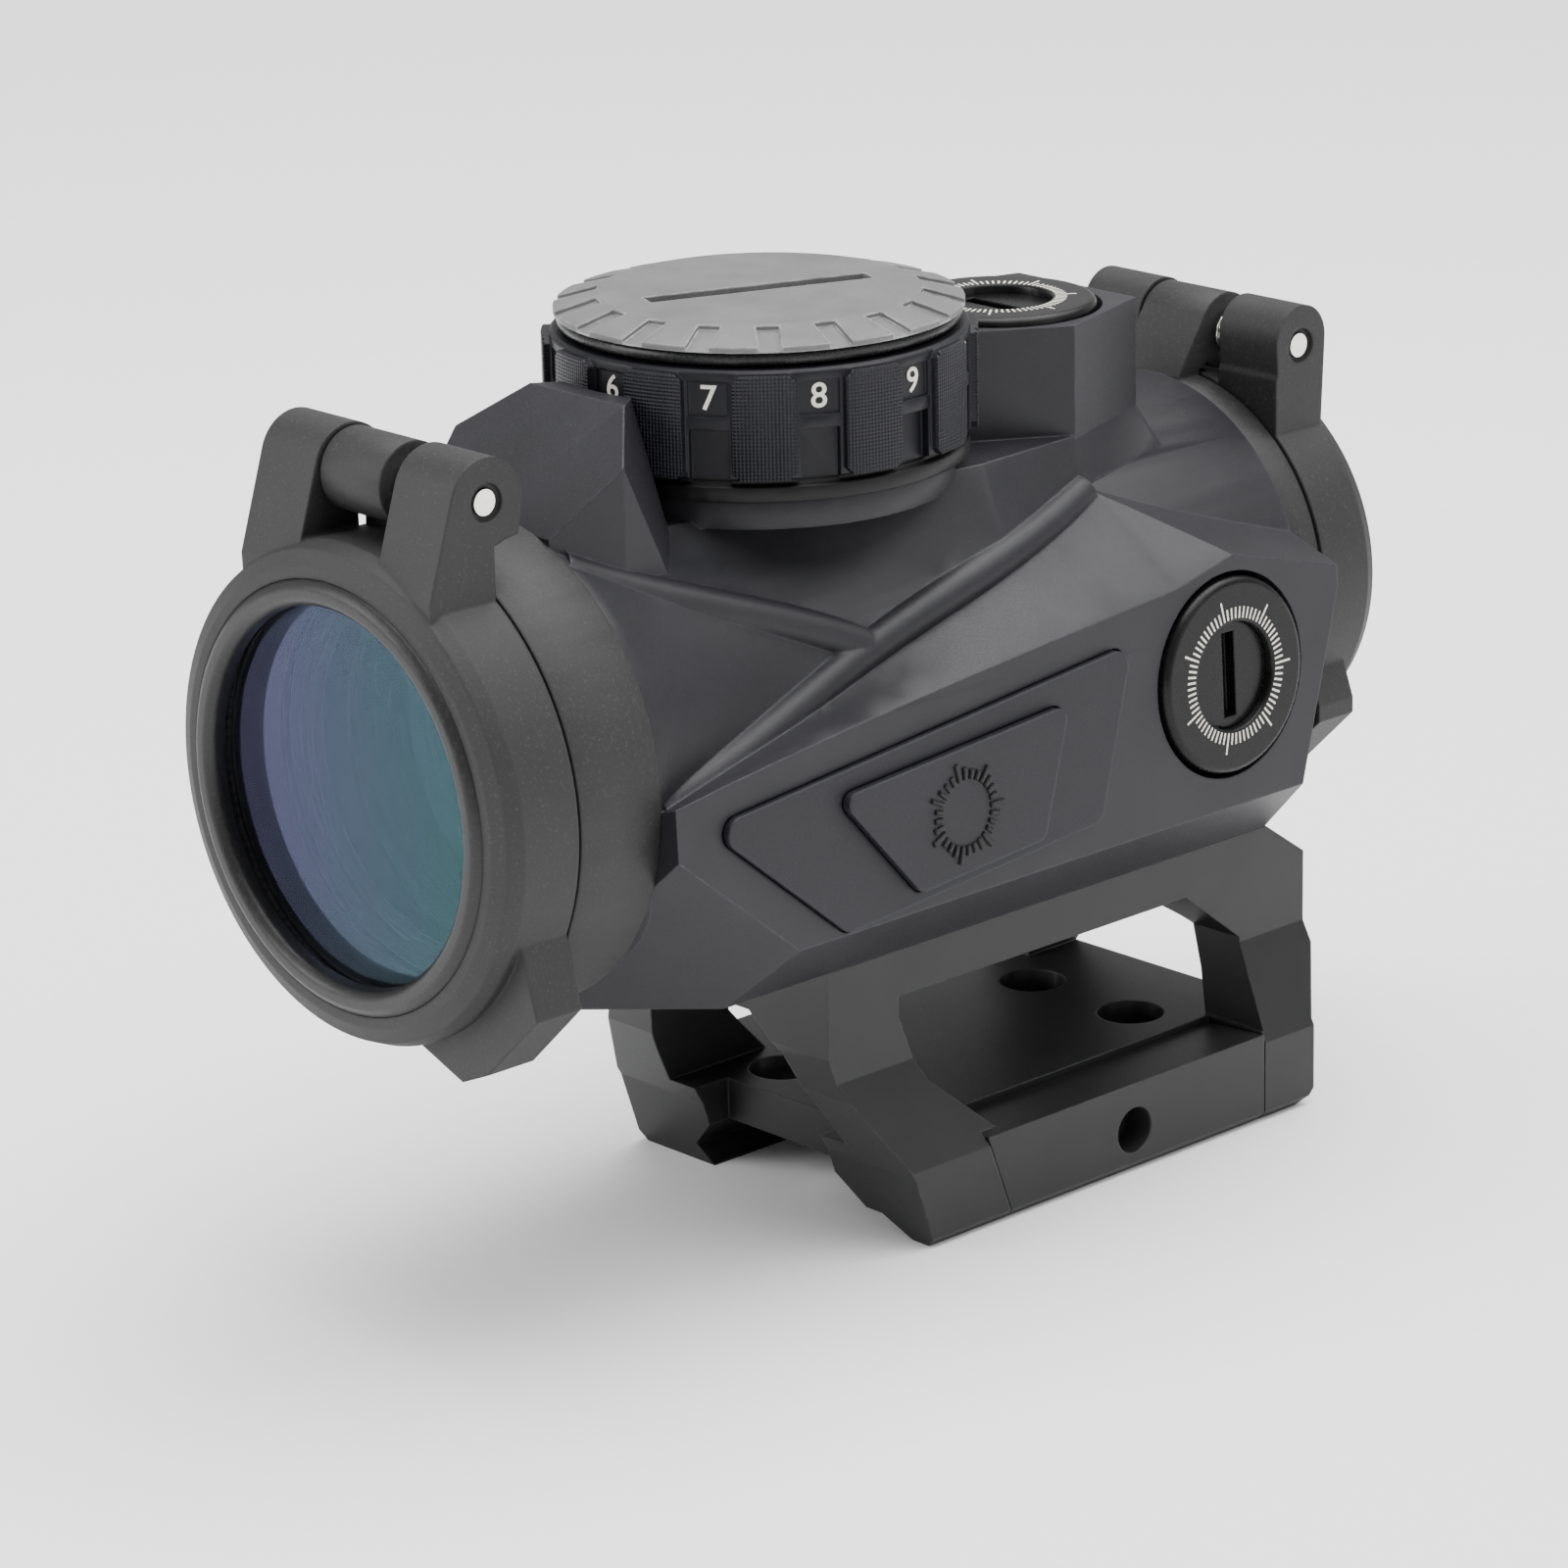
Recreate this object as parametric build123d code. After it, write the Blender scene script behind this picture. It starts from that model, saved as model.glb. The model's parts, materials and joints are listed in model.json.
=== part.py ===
from build123d import *
import math
import os

# Rail-mounted tube red dot sight with see-through flip covers.  Millimetres.
# +X is the button side, -Y the front (target) end, +Z up.
# The origin lies on the rail seat, in the middle of the four access holes.
# The sight is drawn about its own optical axis (x = 0, z = 0, dial at y = 0)
# and is then lifted onto the riser by SIGHT.

os.makedirs("parts", exist_ok=True)

# ------------------------------------------------------------ driving sizes
axis_height = 42.2          # optical axis above the rail seat
dial_station = -22.0        # dial axis along the rail, from the origin
slip_gap = 0.12             # gap between flat sliding faces
running_gap = 0.06          # radial gap of a turning or sliding fit

# tube
front_shoulder = -30.3      # face the front cover ring butts against
rear_shoulder = 46.8        # face the rear cover ring butts against
tube_radius = 17.5
front_radius = 20.1         # tube radius at the front shoulder
flare_length = 18.3
bore_radius = 15.5
head_bore_radius = 17.3     # wide front bore for the lens head
head_bore_end = -30.5
bore_cone_end = -20.0
front_spigot_radius = 18.6
front_spigot_length = 7.5
rear_spigot_radius = 16.0
rear_spigot_length = 2.8
eyepiece_seat_radius = 14.6
eyepiece_step = 3.2         # eyepiece seat depth ahead of the rear shoulder

# side blocks
panel_x = 22.06             # outer panel, measured at axis height
panel_tilt = 3.0            # degrees, panel faces slightly upwards
panel_overhang = 1.9        # blocks are drawn this far past the panel, then cut
panel_top_line = [(-31.0, 0.1), (26.7, 5.7), (48.0, 10.5)]
facet_foot_line = [(19.0, -1.2), (11.6, 13.3), (9.0, 18.4)]
ridge_drop = 14.3           # lower edge of the panel below the axis
ridge_x = 22.8
keel_half_width = 14.2
keel_drop = 21.2            # flat bottom of the housing below the axis
front_corner_point = (22.9, -15.3, -16.7)
front_corner_facing = (0.54, -0.55, -0.63)
rear_roof_point = (21.9, 47.3, 3.9)
rear_roof_facing = (0.326, 0.241, 0.914)
rear_corner_point = (22.8, 41.7, -13.8)
rear_corner_facing = (0.592, 0.777, -0.216)

# shoulders between the tube and the dial platform
platform_z = 17.4
shoulder_stations = [
    # y, half width at the platform, half width and height at the tube
    (-19.0, 6.2, 12.0, 13.0),
    (-16.4, 6.6, 12.7, 11.9),
    (-2.0, 9.1, 16.0, 6.8),
    (14.2, 11.3, 14.4, 10.3),
    (25.7, 10.5, 11.7, 13.2),
    (37.4, 7.0, 10.0, 14.4),
]

# raised ribs that cross on each flank
rib_radius = 1.75
rib_sink = 0.75
short_rib = [(8.5, -29.6, 17.3), (11.9, -19.3, 13.0), (14.3, -11.5, 10.1), (16.2, -4.0, 6.6)]
long_rib = [(19.2, -29.6, -1.0), (17.9, -16.8, 2.0), (16.4, -4.0, 6.2), (14.8, 10.3, 9.4), (11.6, 26.1, 13.1)]

# guard in front of the dial
guard_half_width = 10.2
guard_top = 27.8
guard_front_half = 8.0      # half width where the ramp starts
guard_ramp_z = 19.3
guard_knee = (10.2, -24.25, 24.3)
guard_crest = (5.7, -20.0, 27.8)
guard_tail = (6.6, -16.4, 17.4)
guard_floor = 9.0

# block that carries the elevation turret
tower_top = 26.9
tower_outline = [(4.4, 17.0), (10.4, 26.4), (7.0, 37.4)]
tower_floor = 12.0
elevation_y = 27.7

# brightness dial and its post
post_radius = 13.0
post_top = 30.5
post_foot_radius = 15.9
post_foot_top = 19.2
dial_pocket_radius = 18.3
dial_bottom = 19.45
dial_neck_radius = 17.2
dial_neck_top = 20.7
dial_radius = 17.3
dial_top = 30.3
dial_groove_radius = 16.7
dial_groove_z = 20.9
dial_pad_radius = 17.95
dial_pad_width = 5.2
dial_pad_corner = 0.6
dial_pad_bottom = 21.4
dial_pad_top = 30.0
dial_positions = 12
dial_rest_angle = 3.0       # turn of the first number window from +X
dial_window_floor = 26.5    # lower end of the number windows
dial_window_top = 29.3
dial_window_depth = 0.35
dial_recess_depth = 0.9     # depth of the flutes below the number windows
dial_flute_width = 3.3
dial_recess_top = 25.35
circlip_radius = 14.0
circlip_z = 28.5
circlip_thick = 0.8
circlip_groove_radius = 12.4
dial_seal_z = 21.2
dial_seal_section = 0.45

# battery and cap
battery_radius = 10.0
battery_height = 3.2
battery_bottom = 21.0
chamber_radius = 10.4
chamber_floor = 18.6
board_thick = 0.8
holder_floor_z = 20.5
holder_rim_z = 23.0
holder_wall = 0.3
cap_thread_radius = 11.15
cap_thread_bottom = 26.0
cap_thread_bore = 9.6
cap_pitch = 1.0             # lift of the cap for each turn
cap_neck_radius = 15.5
cap_neck_bottom = 30.75
cap_radius = 16.9
cap_rim_bottom = 31.6
cap_rim_top = 32.1
cap_top = 33.1
cap_flat_radius = 13.1
cap_grooves = 18
cap_groove_width = 1.9
cap_groove_depth = 0.4
cap_groove_inset = 0.3      # grooves stop this far outside the flat top
cap_slot_length = 19.6
cap_slot_width = 2.1
cap_slot_depth = 1.4
cap_slot_angle = 69.0
cap_seal_radius = 16.1
cap_seal_section = 0.55
cap_seal_z = 31.0

# windage and elevation turrets, drawn from the face they sit in
turret_well_radius = 8.95
turret_well_depth = 5.4
turret_ring_radius = 8.5
turret_ring_proud = 0.65
turret_screw_radius = 4.6
turret_screw_top = -0.15
turret_flange_radius = 6.0
turret_flange_top = -2.9
turret_flange_bottom = -4.3
turret_stem_radius = 3.2
turret_stem_bottom = -6.0
turret_plunger_radius = 2.0
turret_plunger_top = -3.2
turret_slot_width = 1.5
turret_slot_depth = 1.1
turret_slot_length = 7.4
turret_seal_radius = 4.4
turret_seal_section = 0.45
windage_y = 32.9
windage_z = -2.7
plunger_lead = 0.05         # gap between plunger and optic cell

# moving optic cell
cell_radius = 14.4
cell_bore = 13.2
cell_head_radius = 16.8
cell_front = -37.4
cell_head_end = -31.2
cell_taper_end = -21.5
cell_rear = 37.0
lens_seat_radius = 15.5
lens_seat_end = -32.6
cone_bore_front = 15.0
cone_bore_end = -6.0
baffle_pitch = 1.7
baffle_depth = 0.45
lens_edge = 3.0
lens_bulge = 0.9
lens_ring_thick = 1.1
lens_ring_bore = 14.9
eyepiece_thick = 2.0
pivot_y = -16.5
pivot_ring_inner = 14.75
pivot_ring_outer = 16.0
pivot_ring_length = 4.6
pivot_room_radius = 16.25
pivot_room_length = 6.0
pivot_stub_radius = 0.9
bias_angle = 225.0
bias_width = 4.0
bias_thick = 0.3
bias_length = 17.0
bias_lift = 0.9
bias_y = 27.0
bias_room_depth = 1.0
emitter_y = 22.0

# button on the left-hand panel
pad_outline = [(-27.5, -2.0), (20.6, 2.65), (16.2, -11.6), (-13.2, -14.0)]
key_outline = [(-14.15, -2.5), (12.2, -0.5), (8.7, -11.2), (-5.6, -12.35)]
pad_corner = 1.4
key_corner = 1.0
pad_proud = 0.6
pad_sunk = 1.0
key_proud = 1.35
key_bottom = -0.9
switch_well = 3.6
switch_centre = (0.6, -7.0)
switch_size = (6.0, 6.0)
switch_board_size = (14.0, 7.6)
switch_board_thick = 0.6
switch_height = 1.2
switch_nub_radius = 1.4

# flip covers: (front, rear) sizes are kept in one record each
cover_gap = 0.35            # gap between the cover ring and the cover frame
pin_radius = 1.06
ear_inner = 4.8
ear_outer = 11.6
pin_recess_radius = 1.55
pin_recess_depth = 0.5
knuckle_left = -4.4
knuckle_right = 2.8
spring_wire = 0.32
spring_radius = 1.75
spring_turns = 4
window_thick = 1.2
window_seat_radius = 16.55
bezel_thick = 1.3

# riser mount
riser_half_width = 14.2
foot_half_width = 18.5
foot_bottom = -4.5
foot_chamfer = 0.9
foot_flare_top = 11.0
foot_flare_bottom = 2.9
plate_top = 3.8
plate_half_width = 11.6
plate_front = -20.4
rail_flat_half = 7.84
rail_half_width = 10.7
rail_edge_drop = 2.74
hook_tip_x = 8.9
bar_front = -15.0
bar_front_low = -11.8
bar_rear = 19.6
bar_inner = 11.72
bar_top_inner = 3.2
bar_top_outer = 3.7
bar_travel = 2.4
riser_top_bar = 4.15
bolt_radius = 2.0
bolt_relief = 0.4           # depth of the straight-sided relief in the rail seat
bolt_y = 3.0
bolt_z = -0.6
bolt_head_radius = 3.5
bolt_head_depth = 3.0
bolt_head_face = -18.2
bolt_end = 15.8
bolt_socket = 2.9           # across flats of the hexagon key
access_radius = 3.0
screw_x = 6.1
screw_y = 15.5
screw_radius = 1.25
screw_head_radius = 2.25
screw_head_height = 2.0
screw_counterbore = 2.2
screw_grip = 4.4
screw_socket = 2.0

far = 200.0                 # larger than anything here, for cutting blocks
sliver = 0.5                # overrun of a cutting shape past the face it opens

SIGHT = Pos(0, dial_station, axis_height)


# ------------------------------------------------------------ shape helpers
def turned_y(outline):
    """Solid of revolution about the optical axis from (radius, y) points."""
    return revolve(Polygon(*outline, align=None), Axis.Y)


def turned_z(outline):
    """Solid of revolution about a vertical axis from (radius, z) points."""
    return revolve(Plane.XZ * Polygon(*outline, align=None), Axis.Z)


def ring_y(outer, inner, start, end):
    return turned_y([(inner, start), (outer, start), (outer, end), (inner, end)])


def ring_z(outer, inner, start, end):
    return turned_z([(inner, start), (outer, start), (outer, end), (inner, end)])


def disc_z(radius, start, end):
    return Pos(0, 0, start) * Cylinder(radius, end - start, align=(Align.CENTER, Align.CENTER, Align.MIN))


def disc_y(radius, start, end):
    return Pos(0, start, 0) * Rot(-90, 0, 0) * Cylinder(
        radius, end - start, align=(Align.CENTER, Align.CENTER, Align.MIN))


def prism_x(outline, start, end):
    """Prism along X from (y, z) points."""
    return extrude(Plane.YZ.offset(start) * Polygon(*outline, align=None), end - start, dir=(1, 0, 0))


def prism_y(outline, start, end):
    """Prism along Y from (x, z) points."""
    return extrude(Plane.XZ.offset(-start) * Polygon(*outline, align=None), end - start, dir=(0, 1, 0))


def prism_z(outline, start, end):
    """Prism along Z from (x, y) points."""
    return extrude(Plane.XY.offset(start) * Polygon(*outline, align=None), end - start, dir=(0, 0, 1))


def block(x_range, y_range, z_range):
    size = [high - low for low, high in (x_range, y_range, z_range)]
    centre = [(low + high) / 2 for low, high in (x_range, y_range, z_range)]
    return Pos(*centre) * Box(*size)


def bar_along_x(radius, start, end, y, z):
    return Pos(start, y, z) * Rot(0, 90, 0) * Cylinder(
        radius, end - start, align=(Align.CENTER, Align.CENTER, Align.MIN))


def trim(body, point, facing):
    """Keep the part of the body behind the plane."""
    return split(body, bisect_by=Plane(origin=point, z_dir=facing), keep=Keep.BOTTOM)


def both_sides(body):
    return body + mirror(body, about=Plane.YZ)


def mirrored_x(point):
    return (-point[0], point[1], point[2])


def rounded_plate(outline, corner, bottom, top):
    """Flat plate with rounded corners, drawn on the local XY plane."""
    plate = extrude(Plane.XY.offset(bottom) * Polygon(*outline, align=None), top - bottom, dir=(0, 0, 1))
    return fillet(plate.edges().filter_by(Axis.Z), corner)


def grown(outline, amount):
    """The outline moved outwards by the same amount on every side."""
    face = offset(Polygon(*outline, align=None), amount, kind=Kind.INTERSECTION)
    return [(v.X, v.Y) for v in face.wire().vertices()]


def hexagon_socket(across_flats, depth):
    return extrude(RegularPolygon(across_flats / 2, 6, major_radius=False), -depth)


# the panel plane: local x runs along +Y, local y up the panel
panel = Plane(
    origin=(panel_x, 0, 0),
    x_dir=(0, 1, 0),
    z_dir=(math.cos(math.radians(panel_tilt)), 0, math.sin(math.radians(panel_tilt))),
)
windage_place = panel.location * Pos(windage_y, windage_z, 0)
elevation_place = Pos(0, elevation_y, tower_top)


# ------------------------------------------------------------ main housing
def tube_body():
    """Outside of the tube with its flare and both spigots."""
    flare_end = front_shoulder + flare_length
    rise = front_radius - tube_radius
    mid = (tube_radius + rise / 4, (front_shoulder + flare_end) / 2)
    outline = Polyline(
        (front_radius, front_shoulder),
        (front_spigot_radius, front_shoulder),
        (front_spigot_radius, front_shoulder - front_spigot_length),
        (0, front_shoulder - front_spigot_length),
        (0, rear_shoulder + rear_spigot_length),
        (rear_spigot_radius, rear_shoulder + rear_spigot_length),
        (rear_spigot_radius, rear_shoulder),
        (tube_radius, rear_shoulder),
        (tube_radius, flare_end),
    )
    flare = ThreePointArc((tube_radius, flare_end), mid, (front_radius, front_shoulder))
    return revolve(make_face(outline + flare), Axis.Y)


def side_block():
    """Faceted block on the +X flank that carries the panel."""
    sections = []
    reach = panel_x + panel_overhang
    for (y, top_z), (foot_x, foot_z) in zip(panel_top_line, facet_foot_line):
        slope = (foot_z - top_z) / (panel_x - foot_x)
        bevel = (keel_drop - ridge_drop) / (ridge_x - keel_half_width)
        outline = [
            (0, foot_z),
            (foot_x, foot_z),
            (reach, top_z - slope * panel_overhang),
            (reach, -ridge_drop + bevel * (reach - ridge_x)),
            (keel_half_width, -keel_drop),
            (0, -keel_drop),
        ]
        sections.append(Plane.XZ.offset(-y) * Polygon(*outline, align=None))
    body = loft(sections, ruled=True)
    body = trim(body, panel.origin, panel.z_dir)
    body = trim(body, front_corner_point, front_corner_facing)
    body = trim(body, rear_roof_point, rear_roof_facing)
    body = trim(body, rear_corner_point, rear_corner_facing)
    body = trim(body, (0, front_shoulder, 0), (0, -1, 0))
    return trim(body, (0, rear_shoulder, 0), (0, 1, 0))


def shoulders():
    """Ruled flanks between the dial platform and the tube."""
    sections = []
    for y, top_half, foot_half, foot_z in shoulder_stations:
        outline = [(-foot_half, foot_z), (-top_half, platform_z), (top_half, platform_z), (foot_half, foot_z)]
        sections.append(Plane.XZ.offset(-y) * Polygon(*outline, align=None))
    return loft(sections, ruled=True)


def rib(points):
    """Half-round rib that follows the points on the tube."""
    sunk = []
    for x, y, z in points:
        scale = 1 - rib_sink / math.hypot(x, z)
        sunk.append((x * scale, y, z * scale))
    path = Spline(*sunk)
    section = Plane(origin=path @ 0, z_dir=path % 0) * Circle(rib_radius)
    return sweep(section, path=path)


def dial_guard():
    """Raised guard with a ramp in front of the dial."""
    across = (-guard_half_width, guard_half_width)
    body = block(across, (front_shoulder, guard_tail[1] + 1), (guard_floor, guard_top))
    ramp_run = guard_knee[1] - front_shoulder
    ramp_rise = guard_knee[2] - guard_ramp_z
    body = trim(body, (0, front_shoulder, guard_ramp_z), (0, -ramp_rise, ramp_run))
    flank = (ramp_run, guard_front_half - guard_half_width, 0)
    body = trim(body, (guard_front_half, front_shoulder, 0), flank)
    body = trim(body, (-guard_front_half, front_shoulder, 0), mirrored_x(flank))
    crest, knee, tail = Vector(guard_crest), Vector(guard_knee), Vector(guard_tail)
    facing = (tail - crest).cross(knee - crest)
    facing = facing if facing.X > 0 else -facing
    body = trim(body, guard_crest, facing)
    return trim(body, mirrored_x(guard_crest), (-facing.X, facing.Y, facing.Z))


def turret_tower():
    """Block behind the dial that carries the elevation turret."""
    outline = tower_outline + [(-x, y) for x, y in reversed(tower_outline)]
    return prism_z(outline, tower_floor, tower_top)


def turret_well(depth_to_cell):
    """Room for one turret, drawn from the face it sits in."""
    hole = disc_z(turret_well_radius, -turret_well_depth, sliver)
    hole += disc_z(turret_stem_radius + running_gap, turret_stem_bottom - sliver / 2, 0)
    return hole + disc_z(turret_plunger_radius + running_gap, -depth_to_cell, 0)


def bias_room():
    """Pocket in the bore for the leaf spring behind the optic cell."""
    depth = bore_radius + bias_room_depth
    half_length, half_width = bias_length / 2 + 1, bias_width / 2 + 1
    room = block((0, depth), (bias_y - half_length, bias_y + half_length), (-half_width, half_width))
    return Rot(0, -bias_angle, 0) * room


def main_housing():
    body = tube_body()
    body += both_sides(side_block())
    body += shoulders()
    ribs = trim(rib(short_rib) + rib(long_rib), (0, front_shoulder, 0), (0, -1, 0))
    body += both_sides(ribs)
    body += dial_guard()
    body += turret_tower()
    body = trim(body, (0, rear_shoulder + rear_spigot_length, 0), (0, 1, 0))
    body -= disc_z(dial_pocket_radius, platform_z, far)
    body += disc_z(post_foot_radius, platform_z - sliver, post_foot_top)
    body += disc_z(post_radius, platform_z - sliver, post_top)
    body -= turned_y([
        (0, front_shoulder - far),
        (head_bore_radius, front_shoulder - far),
        (head_bore_radius, head_bore_end),
        (bore_radius, bore_cone_end),
        (bore_radius, rear_shoulder - eyepiece_step - 1.2),
        (cell_bore + 0.4, rear_shoulder - eyepiece_step - 1.2),
        (cell_bore + 0.4, rear_shoulder - eyepiece_step),
        (eyepiece_seat_radius, rear_shoulder - eyepiece_step),
        (eyepiece_seat_radius, rear_shoulder + far),
        (0, rear_shoulder + far),
    ])
    body -= ring_y(pivot_room_radius, bore_radius - 1, pivot_y - pivot_room_length / 2, pivot_y + pivot_room_length / 2)
    stub_room = pivot_room_radius + 0.6
    body -= Pos(0, pivot_y, 0) * disc_z(pivot_stub_radius + running_gap, -stub_room, stub_room)
    body -= bias_room()
    body -= disc_z(chamber_radius, chamber_floor, post_top + sliver)
    body -= disc_z(cap_thread_radius + running_gap, cap_thread_bottom - 0.6, post_top + sliver)
    body -= ring_z(post_radius + 1, circlip_groove_radius, circlip_z, circlip_z + circlip_thick)
    body -= ring_z(post_radius + 1, post_radius - 2 * dial_seal_section - running_gap,
                   dial_seal_z - dial_seal_section - 0.1, dial_seal_z + dial_seal_section + 0.1)
    body -= elevation_place * turret_well(tower_top - bore_radius + 1)
    body -= windage_place * turret_well(panel_x - bore_radius + 1.5)
    body -= panel.location * rounded_plate(grown(pad_outline, slip_gap), pad_corner, -pad_sunk, sliver)
    body -= panel.location * rounded_plate(grown(key_outline, slip_gap), key_corner, -switch_well, 0)
    for x in (-screw_x, screw_x):
        for y in (-screw_y, screw_y):
            hole = disc_z(screw_radius, -keel_drop - sliver, -keel_drop + screw_grip + 0.4)
            body -= Pos(x, y - dial_station, 0) * hole
    return body


# ------------------------------------------------------------ flip covers
def front_sizes():
    """Sizes of the front cover, drawn with its window facing -Y."""
    return dict(
        start=front_shoulder, radius=20.5, ring_length=8.3, ring_bore=front_spigot_radius,
        frame_length=7.35, front_round=1.9, opening=15.5, pin_ahead=0.55, pin_z=24.8,
        knuckle=3.4, web_back=2.4, bezel_radius=17.7, ear_front_low=(6.55, 17.8), ear_crown=0.0,
        ear_round=3.6, ear_back_low=(-2.5, 21.8), ear_foot_back=21.4,
        tab=[(18.6, -8.4), (19.8, -13.0), (20.2, -14.3), (14.1, -20.2), (10.9, -21.6), (5.7, -19.6)],
        tab_length=4.6,
    )


def rear_sizes():
    """Sizes of the rear cover, drawn facing -Y and then mirrored to the rear."""
    return dict(
        start=-rear_shoulder, radius=17.4, ring_length=3.1, ring_bore=rear_spigot_radius,
        frame_length=7.4, front_round=1.7, opening=13.6, pin_ahead=3.15, pin_z=20.5,
        knuckle=3.4, web_back=0.6, bezel_radius=15.5, ear_front_low=(5.8, 12.7), ear_crown=0.5,
        ear_round=3.1, ear_back_low=(0.2, 18.4), ear_foot_back=17.9,
        tab=[(15.6, -7.0), (16.9, -10.6), (16.9, -12.0), (11.6, -17.2), (9.2, -18.0), (4.8, -16.6)],
        tab_length=4.4,
    )


def touching_point(point, centre, radius, side):
    """Where a line from the point touches the circle, on its +1 or -1 side."""
    run, rise = point[0] - centre[0], point[1] - centre[1]
    angle = math.atan2(rise, run) + side * math.acos(radius / math.hypot(run, rise))
    return (centre[0] + radius * math.cos(angle), centre[1] + radius * math.sin(angle))


def cover_planes(s):
    """Y of the ring face, the frame back face and the frame front face."""
    ring_face = s["start"] - s["ring_length"]
    frame_back = ring_face - cover_gap
    return ring_face, frame_back, frame_back - s["frame_length"]


def cover_ring(s):
    """Fixed ring on the tube with the middle knuckle of the hinge."""
    ring_face, frame_back, _ = cover_planes(s)
    pin_y = frame_back - s["pin_ahead"]
    body = ring_y(s["radius"] - 0.1, s["ring_bore"], ring_face, s["start"])
    knuckle = bar_along_x(s["knuckle"], knuckle_left, knuckle_right, pin_y, s["pin_z"])
    root = s["radius"] - 1.4
    web_top = s["pin_z"] + s["knuckle"] * 0.6
    web = [
        (ring_face, root),
        (s["start"] - 0.3, root),
        (s["start"] - 0.3, s["radius"] - 0.1),
        (pin_y + s["knuckle"] * 0.8, web_top),
        (pin_y, web_top),
        (pin_y, s["pin_z"] - s["knuckle"] * 0.4),
        (ring_face, s["radius"] + s["web_back"] * 0.2),
    ]
    body += knuckle + prism_x(web, knuckle_left, knuckle_right)
    body -= bar_along_x(pin_radius, -far, far, pin_y, s["pin_z"])
    return body - disc_y(s["ring_bore"], ring_face - 1, s["start"] + 1) - disc_y(far, s["start"], far)


def cover_frame(s):
    """Swinging frame with two hinge ears and a thumb tab."""
    _, back, front = cover_planes(s)
    pin_y = back - s["pin_ahead"]
    turn = s["front_round"]
    outline = [
        (0, back),
        (s["radius"], back),
        (s["radius"], front + turn),
        (s["radius"] - turn * 0.3, front + turn * 0.3),
        (s["radius"] - turn, front),
        (0, front),
    ]
    body = turned_y(outline)
    crown = (pin_y, s["pin_z"] + s["ear_crown"])
    front_low = (back - s["ear_front_low"][0], s["ear_front_low"][1])
    back_low = (back - s["ear_back_low"][0], s["ear_back_low"][1])
    ear = [
        (back, s["radius"] * 0.6),
        (front + 1.0, s["radius"] * 0.6),
        front_low,
        touching_point(front_low, crown, s["ear_round"], -1),
        touching_point(back_low, crown, s["ear_round"], 1),
        back_low,
        (back, s["ear_foot_back"]),
    ]
    ear_plate = prism_x(ear, ear_inner, ear_outer) + bar_along_x(s["ear_round"], ear_inner, ear_outer, *crown)
    ear_plate -= bar_along_x(pin_recess_radius, ear_outer - pin_recess_depth, far, pin_y, s["pin_z"])
    body += both_sides(ear_plate)
    body += prism_y(s["tab"], back - s["tab_length"], back)
    body -= bar_along_x(s["knuckle"] + 0.5, -ear_inner, ear_inner, pin_y, s["pin_z"])
    body -= bar_along_x(pin_radius + running_gap, -far, far, pin_y, s["pin_z"])
    body -= disc_y(s["opening"] + 0.6, front - 1, back + 1)
    seat = s["bezel_radius"] - 1.1
    body -= disc_y(seat, front + bezel_thick - sliver, front + bezel_thick + window_thick)
    return body - disc_y(s["bezel_radius"], front - 1, front + bezel_thick)


def cover_window(s):
    _, _, front = cover_planes(s)
    return disc_y(s["bezel_radius"] - 1.1, front + bezel_thick, front + bezel_thick + window_thick)


def cover_bezel(s):
    """Ring that holds the window in the frame."""
    _, _, front = cover_planes(s)
    return turned_y([
        (s["opening"], front + bezel_thick),
        (s["bezel_radius"], front + bezel_thick),
        (s["bezel_radius"], front),
        (s["bezel_radius"] - 0.7, front - 0.6),
        (s["opening"] + 0.6, front - 0.6),
        (s["opening"], front),
    ])


def hinge_pin(s):
    _, back, _ = cover_planes(s)
    reach = ear_outer - pin_recess_depth / 2
    return bar_along_x(pin_radius, -reach, reach, back - s["pin_ahead"], s["pin_z"])


def hinge_spring(s):
    """Coils of the opening spring between the knuckle and the ear."""
    _, back, _ = cover_planes(s)
    room = ear_inner - knuckle_right - 2 * spring_wire - 0.2
    coil = Helix(room / spring_turns, room, spring_radius)
    section = Plane(origin=coil @ 0, z_dir=coil % 0) * Circle(spring_wire / 2)
    wire = sweep(section, path=coil)
    return Pos(knuckle_right + spring_wire + 0.1, back - s["pin_ahead"], s["pin_z"]) * Rot(0, 90, 0) * wire


def at_rear(shape):
    """Carry a cover piece drawn for the front over to the rear end."""
    return mirror(shape, about=Plane.XZ)


# ------------------------------------------------------------ turret parts
def scale_ring():
    """Fixed ring with the scale that also retains the adjuster screw."""
    body = ring_z(turret_ring_radius, turret_screw_radius + running_gap, -turret_well_depth, turret_ring_proud)
    body -= disc_z(turret_flange_radius + 0.15, -turret_well_depth - 1, turret_flange_top + 0.1)
    return chamfer(body.edges().filter_by(GeomType.CIRCLE).group_by(Axis.Z)[-1].sort_by(SortBy.LENGTH)[-1], 0.4)


def adjuster_screw():
    body = disc_z(turret_screw_radius, turret_flange_top - sliver, turret_screw_top)
    body += disc_z(turret_flange_radius, turret_flange_bottom, turret_flange_top)
    body += disc_z(turret_stem_radius, turret_stem_bottom, turret_flange_bottom)
    body -= disc_z(turret_plunger_radius + running_gap, turret_stem_bottom - 1, turret_plunger_top + 0.7)
    slot = Box(turret_slot_length, turret_slot_width, 2 * turret_slot_depth)
    return body - Pos(0, 0, turret_screw_top) * slot


def turret_plunger(tip):
    return disc_z(turret_plunger_radius, tip, turret_plunger_top)


def turret_seal():
    return Pos(0, 0, turret_flange_bottom - turret_seal_section - 0.08) * Torus(turret_seal_radius, turret_seal_section)


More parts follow.
